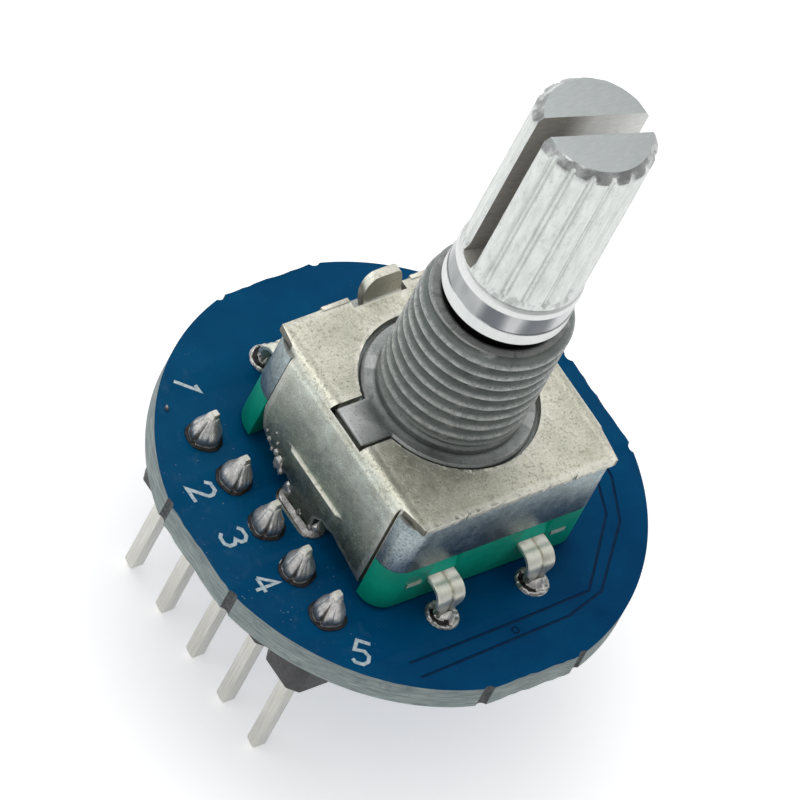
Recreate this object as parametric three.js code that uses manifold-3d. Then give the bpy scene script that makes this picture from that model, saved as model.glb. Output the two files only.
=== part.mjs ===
// A 12 mm incremental rotary encoder with a push switch, on a round breakout board with a five-pin header.
// Millimetres, +Z up along the shaft. The origin is on the shaft's axis, level with the header pins' tips.
// -X is the header's side. The switch terminals leave towards -Y and the encoder terminals towards +Y.
import * as THREE from 'three';
import { mergeVertices } from 'three/addons/utils/BufferGeometryUtils.js';
import Module from 'manifold-3d';

// Heights below are measured from the board's top face, which is this far above the header pins' tips.
const BOARD_TOP = 10.0;

// Circuit board: a disc with four snapped-off flats.
const BOARD_RADIUS = 11.4;
const BOARD_FLAT = 11.15;
const BOARD_THICKNESS = 1.3;
const BOARD_BOTTOM = -BOARD_THICKNESS;

// Pin header: five square pins at the standard pitch.
const HEADER_X = -7.62;
const PIN_PITCH = 2.54;
const PIN_COUNT = 5;
const PIN_WIDTH = 0.64;
const PIN_TIP_LENGTH = 0.35;
const PIN_TOP = 1.6;
const PIN_HOLE_RADIUS = 0.5;
const INSULATOR_HEIGHT = 2.54;
const INSULATOR_NOTCH = 0.45;
const HEADER_SOLDER_RADIUS = 0.87;
const HEADER_SOLDER_TOP = 1.25;

// Three pull-up resistors under the board, in a row beside the header.
const RESISTOR_SIZE = [1.6, 0.8, 0.45];
const RESISTOR_X = -3.2;
const RESISTOR_YS = [3, 0, -3];

// Terminals: strips that leave the base, curve down and pass through the board.
const LEAD_BOTTOM = 1.55;
const LEAD_THICKNESS = 0.25;
const LEAD_TOP = LEAD_BOTTOM + LEAD_THICKNESS;
const TERMINAL_SPACING = 2.5;
const ENCODER_ROW_Y = 7.5;
const SWITCH_ROW_Y = -7.0;
const TERMINAL_WIDTH = 1.5;
const TERMINAL_BEND = 0.75;
const TAIL_WIDTH = 0.8;
const TAIL_START = 0.75;
const TAIL_END = -2.3;
const TERMINAL_HOLE_RADIUS = 0.6;

// Moulded base and die-cast housing: rounded blocks, relieved on both sides for the frame's flaps.
const BODY_HALF_X = 5.78;
const BODY_RELIEF_X = 5.38;
const BODY_RELIEF_Y = 4.62;
const BODY_HALF_Y = 5.88;
const BODY_CORNER = 1.1;
const BASE_BOTTOM = 0.3;
const BASE_FLOOR = 1.5;
const BASE_TOP = 2.9;
const POCKET_RADIUS = 4.7;
const COLLAR_INNER = 2.12;
const COLLAR_OUTER = 2.5;
const CONTACT_BAY_HALF_X = 3.5;
const CONTACT_BAY_END_Y = 5.05;
const FOOT_RADIUS = 0.45;
const FOOT_X = 4.2;
const FOOT_Y = 4.6;

const HOUSING_TOP = 6.08;
const CAVITY_TOP = 5.2;
const BOSS_RADIUS = 4.05;
const LOBE_END_X = -5.3;
const LOBE_HALF_Y = 1.05;

// Threaded bushing, M7 x 0.75, and the shaft that runs in it.
const PANEL_LEVEL = 6.5;
const BUSHING_TOP = 13.5;
const THREAD_RADIUS = 3.5;
const THREAD_ROOT = 3.1;
const THREAD_PITCH = 0.75;
const THREAD_RELIEF = 0.4;
const BUSHING_CHAMFER = 0.4;
const BORE_RADIUS = 2.45;
const JOURNAL_RADIUS = 2.4;
const COLLAR_BOTTOM = 14.2;
const SHAFT_RADIUS = 3.0;
const KNURL_BOTTOM = 16.5;
const SHAFT_TOP = 26.5;
const KNURL_TEETH = 18;
const KNURL_CREST = 2.9;
const KNURL_ROOT = 2.66;
const END_FACE_RADIUS = 2.5;
const END_CHAMFER = 0.6;
const SLOT_WIDTH = 1.0;
const SLOT_DEPTH = 9.8;
const SLOT_ANGLE = THREE.MathUtils.degToRad(-17);
const GROOVE_RADIUS = 1.45;
const GROOVE_BOTTOM = 4.75;
const GROOVE_TOP = 5.15;
const RING_RADIUS = 3.0;
const DRIVE_RADIUS = 2.0;
const DRIVE_FLAT = 1.5;
const SHAFT_BOTTOM = 3.12;

// Sheet-metal frame that clamps the housing onto the base.
const SHEET = 0.4;
const FLAP_OUTER = 5.9;
const FLAP_HALF_Y = 4.5;
const FLAP_BOTTOM = 1.35;
const BEND_RADIUS = 0.55;
const PLATE_HALF_X = 5.35;
const PLATE_SHOULDER_X = 5.62;
const PLATE_FRONT_Y = -5.95;
const PLATE_BACK_Y = 5.75;
const FRAME_HOLE = 4.22;
const NOTCH_END_X = -5.75;
const NOTCH_HALF_Y = 1.25;
const TAB_HALF_X = 1.15;
const TAB_TOP = 7.7;
const TAB_CORNER = 0.6;
const TAB_RELIEF = 0.35;
const LUG_HALF_Y = 1.0;
const LUG_END = -2.2;
const LUG_X = FLAP_OUTER - SHEET / 2;

// Rotor, code disc, detent spring and push switch.
const ROTOR_RADIUS = 4.45;
const ROTOR_BOTTOM = 3.3;
const ROTOR_TOP = 4.45;
const HUB_BOTTOM = 2.95;
const HUB_TOP = 4.2;
const RECESS_RADIUS = 3.25;
const DETENTS = 20;
const DETENT_HEIGHT = 0.3;
const DETENT_HALF_WIDTH = 0.45;
const DISC_THICKNESS = 0.18;
const DISC_INNER = 2.3;
const DISC_RING = 3.0;
const DISC_OUTER = 4.2;
const SPRING_INNER = 3.25;
const SPRING_OUTER = 4.5;
const SPRING_BOTTOM = 5.02;
const SPRING_TOP = 5.17;
const BUMP_TIP = 4.5;
const CONTACT_Y = 2.705;
const CONTACT_TOP = 3.08;
const FINGER_WIDTH = 0.5;
const CONTACT_RING = [1.45, 2.05];
const CENTRE_CONTACT_RADIUS = 0.6;
const CENTRE_CONTACT_RISE = 0.12;
const DOME_RADIUS = 2.0;
const DOME_TOP = 2.55;
const DOME_SHEET = 0.1;
const PLUNGER_RADIUS = 2.05;
const PLUNGER_NOSE = 0.9;
const PLUNGER_TOP = 3.1;

// Clearances: between fixed neighbours, and around a strip that lies in a moulded channel.
const SEAT_GAP = 0.02;
const CHANNEL_GAP = 0.04;

const wasm = await Module();
wasm.setup();

// ---- Shape helpers ----

function solid(geometry) {
  const bare = geometry.clone();
  bare.deleteAttribute('normal');
  bare.deleteAttribute('uv');
  const merged = mergeVertices(bare, 1e-5);
  return new wasm.Manifold(new wasm.Mesh({
    numProp: 3,
    vertProperties: merged.attributes.position.array,
    triVerts: new Uint32Array(merged.index.array),
  }));
}

function geometryOf(body) {
  const { vertProperties, triVerts } = body.getMesh();
  const geometry = new THREE.BufferGeometry();
  geometry.setAttribute('position', new THREE.BufferAttribute(vertProperties, 3));
  geometry.setIndex(new THREE.BufferAttribute(triVerts, 1));
  geometry.computeVertexNormals();
  return geometry;
}

function union(bodies) {
  return bodies.reduce((whole, body) => whole.add(body));
}

function block(x, y, z) {
  const geometry = new THREE.BoxGeometry(x[1] - x[0], y[1] - y[0], z[1] - z[0]);
  geometry.translate((x[0] + x[1]) / 2, (y[0] + y[1]) / 2, (z[0] + z[1]) / 2);
  return solid(geometry);
}

function prismGeometry(shape, bottom, top, curveSegments = 8) {
  const options = { depth: top - bottom, bevelEnabled: false, curveSegments };
  const geometry = new THREE.ExtrudeGeometry(shape, options);
  geometry.translate(0, 0, bottom);
  return geometry;
}

function prism(shape, bottom, top, curveSegments) {
  return solid(prismGeometry(shape, bottom, top, curveSegments));
}

// Extrudes a side view, drawn as (y, z), across a width centred on x.
function sidePrism(shape, x, width, curveSegments) {
  const geometry = prismGeometry(shape, -width / 2, width / 2, curveSegments);
  geometry.rotateZ(Math.PI / 2);
  geometry.rotateY(Math.PI / 2);
  geometry.translate(x, 0, 0);
  return solid(geometry);
}

// Revolves a profile of [radius, height] points about Z.
function turnedGeometry(profile, segments = 32) {
  const points = profile.map(([radius, height]) => new THREE.Vector2(radius, height));
  return new THREE.LatheGeometry(points, segments).rotateX(Math.PI / 2);
}

function turned(profile, segments) {
  return solid(turnedGeometry(profile, segments));
}

function disc(radius, bottom, top, segments) {
  return turned([[0, bottom], [radius, bottom], [radius, top], [0, top]], segments);
}

function polygon(points) {
  return new THREE.Shape(points.map(([x, y]) => new THREE.Vector2(x, y)));
}

function roundedRectangle(halfX, halfY, radius) {
  const shape = new THREE.Shape();
  const corners = [[1, 1], [-1, 1], [-1, -1], [1, -1]];
  corners.forEach(([sx, sy], quarter) => {
    const start = quarter * Math.PI / 2;
    shape.absarc(sx * (halfX - radius), sy * (halfY - radius), radius, start, start + Math.PI / 2, false);
  });
  shape.closePath();
  return shape;
}

function roundHole(x, y, radius) {
  return new THREE.Path().absarc(x, y, radius, 0, 2 * Math.PI, true);
}

// ---- Scene graph ----

const rotaryEncoder = new THREE.Group();
const aboveBoard = new THREE.Group();
aboveBoard.position.z = BOARD_TOP;
rotaryEncoder.add(aboveBoard);

const materials = {
  boardBlue: { color: 0x03456f, roughness: 0.35, metalness: 0 },
  black: { color: 0x17181a, roughness: 0.6, metalness: 0 },
  baseGreen: { color: 0x047a62, roughness: 0.5, metalness: 0 },
  rotorWhite: { color: 0xe4e2da, roughness: 0.5, metalness: 0 },
  tinPlate: { color: 0xd3d2cb, roughness: 0.3, metalness: 1 },
  solder: { color: 0xb9babb, roughness: 0.25, metalness: 1 },
  nickelSheet: { color: 0xcac6b6, roughness: 0.35, metalness: 1 },
  zinc: { color: 0x85868c, roughness: 0.45, metalness: 1 },
  aluminium: { color: 0xdfe1e3, roughness: 0.25, metalness: 1 },
  springSteel: { color: 0xb4b6b8, roughness: 0.3, metalness: 1 },
  copperAlloy: { color: 0xc9a35e, roughness: 0.3, metalness: 1 },
  ceramic: { color: 0x202226, roughness: 0.4, metalness: 0 },
};

function place(name, shape, finish, x = 0, y = 0) {
  const geometry = shape.isBufferGeometry ? shape : geometryOf(shape);
  const mesh = new THREE.Mesh(geometry, new THREE.MeshStandardMaterial(materials[finish]));
  mesh.name = name;
  mesh.position.set(x, y, 0);
  aboveBoard.add(mesh);
}

// ---- Board and header ----

const pinYs = Array.from({ length: PIN_COUNT }, (_, i) => ((PIN_COUNT - 1) / 2 - i) * PIN_PITCH);
const terminals = [
  { name: 'a', x: -TERMINAL_SPACING, y: ENCODER_ROW_Y },
  { name: 'c', x: 0, y: ENCODER_ROW_Y },
  { name: 'b', x: TERMINAL_SPACING, y: ENCODER_ROW_Y },
  { name: 'd', x: -TERMINAL_SPACING, y: SWITCH_ROW_Y },
  { name: 'e', x: TERMINAL_SPACING, y: SWITCH_ROW_Y },
];

function lugSlot(halfX, halfY, centreX) {
  const points = roundedRectangle(halfX, halfY, halfX - 0.01).getPoints(2);
  return points.map((point) => point.add(new THREE.Vector2(centreX, 0)));
}

function circuitBoard() {
  const halfFlat = Math.acos(BOARD_FLAT / BOARD_RADIUS);
  const outline = new THREE.Shape();
  for (let side = 0; side < 4; side++) {
    const middle = side * Math.PI / 2;
    outline.absarc(0, 0, BOARD_RADIUS, middle + halfFlat, middle + Math.PI / 2 - halfFlat, false);
  }
  outline.closePath();
  pinYs.forEach((y) => outline.holes.push(roundHole(HEADER_X, y, PIN_HOLE_RADIUS)));
  terminals.forEach(({ x, y }) => outline.holes.push(roundHole(x, y, TERMINAL_HOLE_RADIUS)));
  for (const side of [-1, 1]) {
    outline.holes.push(new THREE.Path(lugSlot(0.55, 1.35, side * LUG_X)));
  }
  return prismGeometry(outline, BOARD_BOTTOM, 0, 8);
}

// Five joined cells with a V-notch between each pair, and a square hole for each pin.
function headerInsulator() {
  const half = PIN_PITCH / 2;
  const edge = [];
  for (let cell = 0; cell < PIN_COUNT; cell++) {
    const low = (cell - PIN_COUNT / 2) * PIN_PITCH;
    edge.push([half - INSULATOR_NOTCH, low], [half, low + INSULATOR_NOTCH]);
    edge.push([half, low + PIN_PITCH - INSULATOR_NOTCH]);
  }
  edge.push([half - INSULATOR_NOTCH, PIN_COUNT * half]);
  const mirrored = edge.map(([x, y]) => [-x, -y]);
  const outline = polygon([...edge, ...mirrored]);
  const hole = PIN_WIDTH / 2 + SEAT_GAP;
  for (const y of pinYs) {
    const corners = [[-hole, y - hole], [-hole, y + hole], [hole, y + hole], [hole, y - hole]];
    outline.holes.push(new THREE.Path(corners.map(([px, py]) => new THREE.Vector2(px, py))));
  }
  const top = BOARD_BOTTOM - SEAT_GAP;
  return prismGeometry(outline, top - INSULATOR_HEIGHT, top);
}

function headerPin() {
  const corner = PIN_WIDTH / Math.SQRT2;
  const blunt = corner * 0.45;
  const profile = [
    [0, -BOARD_TOP],
    [blunt, -BOARD_TOP],
    [corner, -BOARD_TOP + PIN_TIP_LENGTH],
    [corner, PIN_TOP - PIN_TIP_LENGTH],
    [blunt, PIN_TOP],
    [0, PIN_TOP],
  ];
  return turnedGeometry(profile, 4).rotateZ(Math.PI / 4);
}

function headerSolder() {
  const profile = [
    [0, SEAT_GAP],
    [HEADER_SOLDER_RADIUS, SEAT_GAP],
    [0.76, 0.35],
    [0.62, 0.8],
    [0.5, HEADER_SOLDER_TOP],
    [0, HEADER_SOLDER_TOP],
  ];
  const hole = PIN_WIDTH / 2 + SEAT_GAP;
  return turned(profile, 16).subtract(block([-hole, hole], [-hole, hole], [-1, 2]));
}

function pullupResistor() {
  const [length, width, height] = RESISTOR_SIZE;
  const top = BOARD_BOTTOM - SEAT_GAP;
  return block([-length / 2, length / 2], [-width / 2, width / 2], [top - height, top]);
}

place('circuit_board', circuitBoard(), 'boardBlue');
place('header_insulator', headerInsulator(), 'black', HEADER_X);
pinYs.forEach((y, i) => {
  place(`header_pin_${i + 1}`, headerPin(), 'tinPlate', HEADER_X, y);
  place(`header_solder_${i + 1}`, headerSolder(), 'solder', HEADER_X, y);
});
RESISTOR_YS.forEach((y, i) => place(`pullup_resistor_${i + 1}`, pullupResistor(), 'ceramic', RESISTOR_X, y));

// ---- Terminals ----

// The flat strips inside the base, as [x, y] ranges, by terminal. The switch strips also reach the
// base's front face at each side, where they were cut from the lead frame.
const outerY = -BODY_HALF_Y;
const leadStrips = {
  a: [[[-3.25, -1.75], [4.7, BODY_HALF_Y]]],
  c: [[[-0.75, 0.75], [4.7, BODY_HALF_Y]]],
  b: [[[1.75, 3.25], [4.7, BODY_HALF_Y]]],
  d: [
    [[-3.25, -1.75], [outerY, -4.9]],
    [[-4.4, -1.75], [-4.95, -4.6]],
    [[-4.4, -3.6], [outerY - 0.04, -4.6]],
    [[-2.1, -1.75], [-4.7, -3.0]],
    [[-2.1, 0.3], [-3.4, -3.0]],
    [[-0.3, 0.3], [-3.4, 0.3]],
  ],
  e: [
    [[1.75, 3.25], [outerY, -4.9]],
    [[1.75, 4.4], [-4.95, -4.6]],
    [[3.6, 4.4], [outerY - 0.04, -4.6]],
    [[2.6, 3.2], [-4.95, -0.1]],
    [[1.75, 3.2], [-0.7, -0.1]],
  ],
};

// The strip outside the base: out, round a quarter bend and down, then a narrower tail.
function terminalLeg({ x, y }) {
  const out = Math.sign(y);
  const row = Math.abs(y);
  const middle = LEAD_BOTTOM + LEAD_THICKNESS / 2;
  const centreY = row - TERMINAL_BEND;
  const centreZ = middle - TERMINAL_BEND;
  const half = LEAD_THICKNESS / 2;
  const strip = new THREE.Shape();
  strip.moveTo(BODY_HALF_Y - 0.3, LEAD_TOP);
  strip.absarc(centreY, centreZ, TERMINAL_BEND + half, Math.PI / 2, 0, true);
  strip.lineTo(row + half, TAIL_START);
  strip.lineTo(row - half, TAIL_START);
  strip.absarc(centreY, centreZ, TERMINAL_BEND - half, 0, Math.PI / 2, false);
  strip.lineTo(BODY_HALF_Y - 0.3, LEAD_BOTTOM);
  strip.closePath();
  const curved = sidePrism(strip, 0, TERMINAL_WIDTH, 4);
  const tailWidth = [-TAIL_WIDTH / 2, TAIL_WIDTH / 2];
  const tail = block(tailWidth, [row - half, row + half], [TAIL_END, TAIL_START + 0.1]);
  const leg = curved.add(tail);
  return (out > 0 ? leg : leg.rotate([0, 0, 180])).translate([x, 0, 0]);
}

function leadPlates(name) {
  return union(leadStrips[name].map(([x, y]) => block(x, y, [LEAD_BOTTOM, LEAD_TOP])));
}

// Sprung finger that rises from the lead to the underside of the code disc.
function contactFinger(x) {
  const finger = polygon([
    [4.75, LEAD_BOTTOM + 0.03],
    [4.95, LEAD_TOP],
    [CONTACT_Y + 0.08, CONTACT_TOP],
    [CONTACT_Y - 0.08, CONTACT_TOP],
    [CONTACT_Y - 0.08, CONTACT_TOP - 0.12],
  ].reverse());
  return sidePrism(finger, x, FINGER_WIDTH);
}

// Part ring under the dome's rim, open towards -Y where the centre contact's lead comes in.
function contactRing() {
  const gap = THREE.MathUtils.degToRad(22);
  const start = -Math.PI / 2 + gap;
  const end = 1.5 * Math.PI - gap;
  const outline = new THREE.Shape();
  outline.absarc(0, 0, CONTACT_RING[1], start, end, false);
  outline.absarc(0, 0, CONTACT_RING[0], end, start, true);
  outline.closePath();
  return prism(outline, LEAD_BOTTOM, LEAD_TOP, 12);
}

function terminal(spec) {
  const parts = [terminalLeg(spec), leadPlates(spec.name)];
  if (spec.y > 0) parts.push(contactFinger(spec.x));
  if (spec.name === 'd') {
    parts.push(disc(CENTRE_CONTACT_RADIUS, LEAD_BOTTOM, LEAD_TOP + CENTRE_CONTACT_RISE, 16));
  }
  if (spec.name === 'e') parts.push(contactRing());
  return union(parts);
}

// One joint: a cone under the board, the filled hole and a low ring on top.
function terminalSolder() {
  const barrel = TERMINAL_HOLE_RADIUS - CHANNEL_GAP;
  const profile = [
    [0, -2.0],
    [0.5, -2.0],
    [0.66, -1.6],
    [0.9, BOARD_BOTTOM - SEAT_GAP],
    [barrel, BOARD_BOTTOM - SEAT_GAP],
    [barrel, SEAT_GAP],
    [0.72, SEAT_GAP],
    [0.66, 0.14],
    [0.52, 0.3],
    [0, 0.3],
  ];
  const halfX = TAIL_WIDTH / 2 + SEAT_GAP;
  const halfY = LEAD_THICKNESS / 2 + SEAT_GAP;
  return turned(profile, 16).subtract(block([-halfX, halfX], [-halfY, halfY], [-3, 1]));
}

for (const spec of terminals) {
  const kind = spec.y > 0 ? 'encoder' : 'switch';
  place(`${kind}_terminal_${spec.name}`, terminal(spec), 'tinPlate');
  place(`terminal_solder_${spec.name}`, terminalSolder(), 'solder', spec.x, spec.y);
}

// ---- Base and housing ----

function bodyBlock(bottom, top) {
  const rounded = prism(roundedRectangle(BODY_HALF_X, BODY_HALF_Y, BODY_CORNER), bottom, top, 3);
  const reliefs = [-1, 1].map((side) => {
    const x = [side * BODY_RELIEF_X, side * (BODY_HALF_X + 1)].sort((p, q) => p - q);
    return block(x, [-BODY_RELIEF_Y, BODY_RELIEF_Y], [bottom - 1, top + 1]);
  });
  return rounded.subtract(union(reliefs));
}

function terminalBase() {
  let base = bodyBlock(BASE_BOTTOM, BASE_TOP);
  base = base.subtract(disc(POCKET_RADIUS, BASE_FLOOR, BASE_TOP + 1, 40));
  const bayX = [-CONTACT_BAY_HALF_X, CONTACT_BAY_HALF_X];
  base = base.subtract(block(bayX, [2, CONTACT_BAY_END_Y], [BASE_FLOOR, BASE_TOP + 1]));
  base = base.add(disc(COLLAR_OUTER, BASE_FLOOR - 0.1, BASE_TOP, 32));
  base = base.subtract(disc(COLLAR_INNER, BASE_FLOOR, BASE_TOP + 1, 32));
  for (const [x, y] of Object.values(leadStrips).flat()) {
    const grown = (range) => [range[0] - CHANNEL_GAP, range[1] + CHANNEL_GAP];
    base = base.subtract(block(grown(x), grown(y), [BASE_FLOOR, LEAD_TOP + CHANNEL_GAP]));
  }
  for (const [sx, sy] of [[1, 1], [-1, 1], [-1, -1], [1, -1]]) {
    const foot = disc(FOOT_RADIUS, SEAT_GAP, BASE_BOTTOM + 0.1, 12);
    base = base.add(foot.translate([sx * FOOT_X, sy * FOOT_Y, 0]));
  }
  return base;
}

function threadedHousing() {
  const relief = PANEL_LEVEL + THREAD_RELIEF;
  const bushing = turned([
    [0, HOUSING_TOP - 0.1],
    [BOSS_RADIUS, HOUSING_TOP - 0.1],
    [BOSS_RADIUS, PANEL_LEVEL],
    [THREAD_ROOT, PANEL_LEVEL],
    [THREAD_ROOT, relief],
    [THREAD_RADIUS, relief + THREAD_PITCH / 2],
    [THREAD_RADIUS, BUSHING_TOP - BUSHING_CHAMFER],
    [THREAD_ROOT + 0.1, BUSHING_TOP],
    [0, BUSHING_TOP],
  ], 40);
  const lobe = block([LOBE_END_X, 0], [-LOBE_HALF_Y, LOBE_HALF_Y], [HOUSING_TOP - 0.1, PANEL_LEVEL]);
  const outside = union([bodyBlock(BASE_TOP + SEAT_GAP, HOUSING_TOP), bushing, lobe]);
  const cavity = disc(POCKET_RADIUS, BASE_TOP - 1, CAVITY_TOP, 40);
  return outside.subtract(cavity).subtract(disc(BORE_RADIUS, 0, BUSHING_TOP + 1, 40));
}

place('terminal_base', terminalBase(), 'baseGreen');
place('threaded_housing', threadedHousing(), 'zinc');

// ---- Sheet-metal frame ----

// Cross-section of the folded sheet, seen along Y.
function foldedSection() {
  const inner = FLAP_OUTER - SHEET;
  const bend = FLAP_OUTER - BEND_RADIUS;
  const level = PANEL_LEVEL - BEND_RADIUS;
  const section = new THREE.Shape();
  section.moveTo(-FLAP_OUTER, FLAP_BOTTOM);
  section.lineTo(-inner, FLAP_BOTTOM);
  section.absarc(-bend, level, BEND_RADIUS - SHEET, Math.PI, Math.PI / 2, true);
  section.absarc(bend, level, BEND_RADIUS - SHEET, Math.PI / 2, 0, true);
  section.lineTo(inner, FLAP_BOTTOM);
  section.lineTo(FLAP_OUTER, FLAP_BOTTOM);
  section.absarc(bend, level, BEND_RADIUS, 0, Math.PI / 2, false);
  section.absarc(-bend, level, BEND_RADIUS, Math.PI / 2, Math.PI, false);
  section.closePath();
  return section;
}

// Extrudes a front view, drawn as (x, z), over a range of y.
function frontPrism(shape, y, curveSegments) {
  const geometry = prismGeometry(shape, 0, y[1] - y[0], curveSegments);
  geometry.rotateX(Math.PI / 2);
  geometry.translate(0, y[1], 0);
  return solid(geometry);
}

function uprightTab() {
  const tab = new THREE.Shape();
  tab.moveTo(-TAB_HALF_X, PANEL_LEVEL - SHEET);
  tab.lineTo(TAB_HALF_X, PANEL_LEVEL - SHEET);
  tab.absarc(TAB_HALF_X - TAB_CORNER, TAB_TOP - TAB_CORNER, TAB_CORNER, 0, Math.PI / 2, false);
  tab.absarc(-TAB_HALF_X + TAB_CORNER, TAB_TOP - TAB_CORNER, TAB_CORNER, Math.PI / 2, Math.PI, false);
  tab.closePath();
  return frontPrism(tab, [PLATE_BACK_Y - 0.3, PLATE_BACK_Y + 0.1], 3);
}

// Top plate: its ends taper from the flaps' shoulders to the plate's own corners.
function plateOutline() {
  const right = [
    [PLATE_HALF_X, PLATE_FRONT_Y],
    [PLATE_SHOULDER_X, -FLAP_HALF_Y],
    [PLATE_SHOULDER_X, FLAP_HALF_Y],
    [PLATE_HALF_X, PLATE_BACK_Y],
  ];
  const left = right.map(([x, y]) => [-x, y]).reverse();
  return polygon([...right, ...left]);
}

function metalFrame() {
  const sheetZ = [PANEL_LEVEL - SHEET, PANEL_LEVEL];
  const cutZ = [PANEL_LEVEL - 0.6, PANEL_LEVEL + 1];
  const plate = prism(plateOutline(), ...sheetZ);
  const bendLimit = block([-FLAP_OUTER, FLAP_OUTER], [-FLAP_HALF_Y, FLAP_HALF_Y], sheetZ);
  const flaps = frontPrism(foldedSection(), [-FLAP_HALF_Y, FLAP_HALF_Y], 3);
  let frame = flaps.add(plate.subtract(bendLimit));
  frame = frame.subtract(disc(FRAME_HOLE, ...cutZ, 48));
  frame = frame.subtract(block([NOTCH_END_X, -3], [-NOTCH_HALF_Y, NOTCH_HALF_Y], cutZ));
  for (const side of [-1, 1]) {
    const reliefX = [side * TAB_HALF_X, side * (TAB_HALF_X + TAB_RELIEF)].sort((p, q) => p - q);
    frame = frame.subtract(block(reliefX, [PLATE_BACK_Y - 0.4, PLATE_BACK_Y + 1], cutZ));
    const lugX = [side * FLAP_OUTER, side * (FLAP_OUTER - SHEET)].sort((p, q) => p - q);
    frame = frame.add(block(lugX, [-LUG_HALF_Y, LUG_HALF_Y], [LUG_END, FLAP_BOTTOM + 1]));
  }
  return frame.add(uprightTab());
}

function lugSolder() {
  const layer = (halfX, halfY, bottom, top) => prism(new THREE.Shape(lugSlot(halfX, halfY, 0)), bottom, top);
  const joint = union([
    layer(0.6, 1.5, BOARD_BOTTOM - 0.3, BOARD_BOTTOM - SEAT_GAP),
    layer(0.5, 1.3, BOARD_BOTTOM - 0.6, SEAT_GAP + 0.3),
    layer(0.65, 1.45, SEAT_GAP, 0.18),
  ]);
  const halfX = SHEET / 2 + SEAT_GAP;
  const halfY = LUG_HALF_Y + SEAT_GAP;
  return joint.subtract(block([-halfX, halfX], [-halfY, halfY], [-3, 1]));
}

place('metal_frame', metalFrame(), 'nickelSheet');
place('frame_solder_left', lugSolder(), 'solder', -LUG_X);
place('frame_solder_right', lugSolder(), 'solder', LUG_X);

// ---- Shaft and retaining ring ----

function knurledTop() {
  const outline = [];
  for (let tooth = 0; tooth < KNURL_TEETH; tooth++) {
    const corners = [[0, KNURL_CREST], [0.28, KNURL_CREST], [0.5, KNURL_ROOT], [0.78, KNURL_ROOT]];
    for (const [step, radius] of corners) {
      const angle = 2 * Math.PI * (tooth + step) / KNURL_TEETH;
      outline.push([radius * Math.cos(angle), radius * Math.sin(angle)]);
    }
  }
  const envelope = turned([
    [0, KNURL_BOTTOM - 0.2],
    [SHAFT_RADIUS, KNURL_BOTTOM - 0.2],
    [SHAFT_RADIUS, SHAFT_TOP - END_CHAMFER],
    [END_FACE_RADIUS, SHAFT_TOP],
    [0, SHAFT_TOP],
  ], 36);
  return prism(polygon(outline), KNURL_BOTTOM - 0.2, SHAFT_TOP).intersect(envelope);
}

function driveFlats() {
  return [-1, 1].map((side) => {
    const y = [side * DRIVE_FLAT, side * (DRIVE_RADIUS + 1)].sort((p, q) => p - q);
    return block([-3, 3], y, [SHAFT_BOTTOM - 1, GROOVE_BOTTOM]);
  });
}

function shaft() {
  const plain = turned([
    [0, SHAFT_BOTTOM],
    [DRIVE_RADIUS, SHAFT_BOTTOM],
    [DRIVE_RADIUS, GROOVE_BOTTOM],
    [GROOVE_RADIUS, GROOVE_BOTTOM],
    [GROOVE_RADIUS, GROOVE_TOP],
    [JOURNAL_RADIUS, GROOVE_TOP],
    [JOURNAL_RADIUS, COLLAR_BOTTOM],
    [SHAFT_RADIUS - 0.15, COLLAR_BOTTOM],
    [SHAFT_RADIUS, COLLAR_BOTTOM + 0.5],
    [SHAFT_RADIUS, KNURL_BOTTOM],
    [0, KNURL_BOTTOM],
  ], 40);
  const slot = block([-4, 4], [-SLOT_WIDTH / 2, SLOT_WIDTH / 2], [SHAFT_TOP - SLOT_DEPTH, SHAFT_TOP + 1]);
  const turnedSlot = slot.rotate([0, 0, THREE.MathUtils.radToDeg(SLOT_ANGLE)]);
  return plain.subtract(union(driveFlats())).add(knurledTop()).subtract(turnedSlot);
}

// Open ring in the shaft's groove, just under the housing's roof.
function retainingRing() {
  const halfGap = THREE.MathUtils.degToRad(35);
  const outline = new THREE.Shape();
  outline.absarc(0, 0, RING_RADIUS, halfGap, 2 * Math.PI - halfGap, false);
  outline.absarc(0, 0, GROOVE_RADIUS + CHANNEL_GAP, 2 * Math.PI - halfGap, halfGap, true);
  outline.closePath();
  return prismGeometry(outline, GROOVE_BOTTOM + SEAT_GAP, GROOVE_TOP - SEAT_GAP, 12);
}

place('shaft', shaft(), 'aluminium');
place('retaining_ring', retainingRing(), 'springSteel');

// ---- Rotor, code disc and detent spring ----

function detentTooth() {
  const root = ROTOR_TOP - 0.1;
  return polygon([
    [-DETENT_HALF_WIDTH, root],
    [DETENT_HALF_WIDTH, root],
    [DETENT_HALF_WIDTH, ROTOR_TOP],
    [0, ROTOR_TOP + DETENT_HEIGHT],
    [-DETENT_HALF_WIDTH, ROTOR_TOP],
  ]);
}

function rotor() {
  let body = turned([
    [0, HUB_BOTTOM],
    [DISC_INNER - 0.3, HUB_BOTTOM],
    [DISC_INNER - 0.3, ROTOR_BOTTOM],
    [ROTOR_RADIUS, ROTOR_BOTTOM],
    [ROTOR_RADIUS, ROTOR_TOP],
    [RECESS_RADIUS, ROTOR_TOP],
    [RECESS_RADIUS - 0.2, HUB_TOP],
    [0, HUB_TOP],
  ], 40);
  for (let i = 0; i < DETENTS; i++) {
    const tooth = frontPrism(detentTooth(), [RECESS_RADIUS + 0.1, ROTOR_RADIUS - 0.05]);
    body = body.add(tooth.rotate([0, 0, 360 * (i + 0.5) / DETENTS]));
  }
  const hole = disc(DRIVE_RADIUS + CHANNEL_GAP, 0, ROTOR_TOP + 1, 32);
  const flat = DRIVE_FLAT + CHANNEL_GAP;
  return body.subtract(hole.intersect(block([-3, 3], [-flat, flat], [0, ROTOR_TOP + 1])));
}

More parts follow.
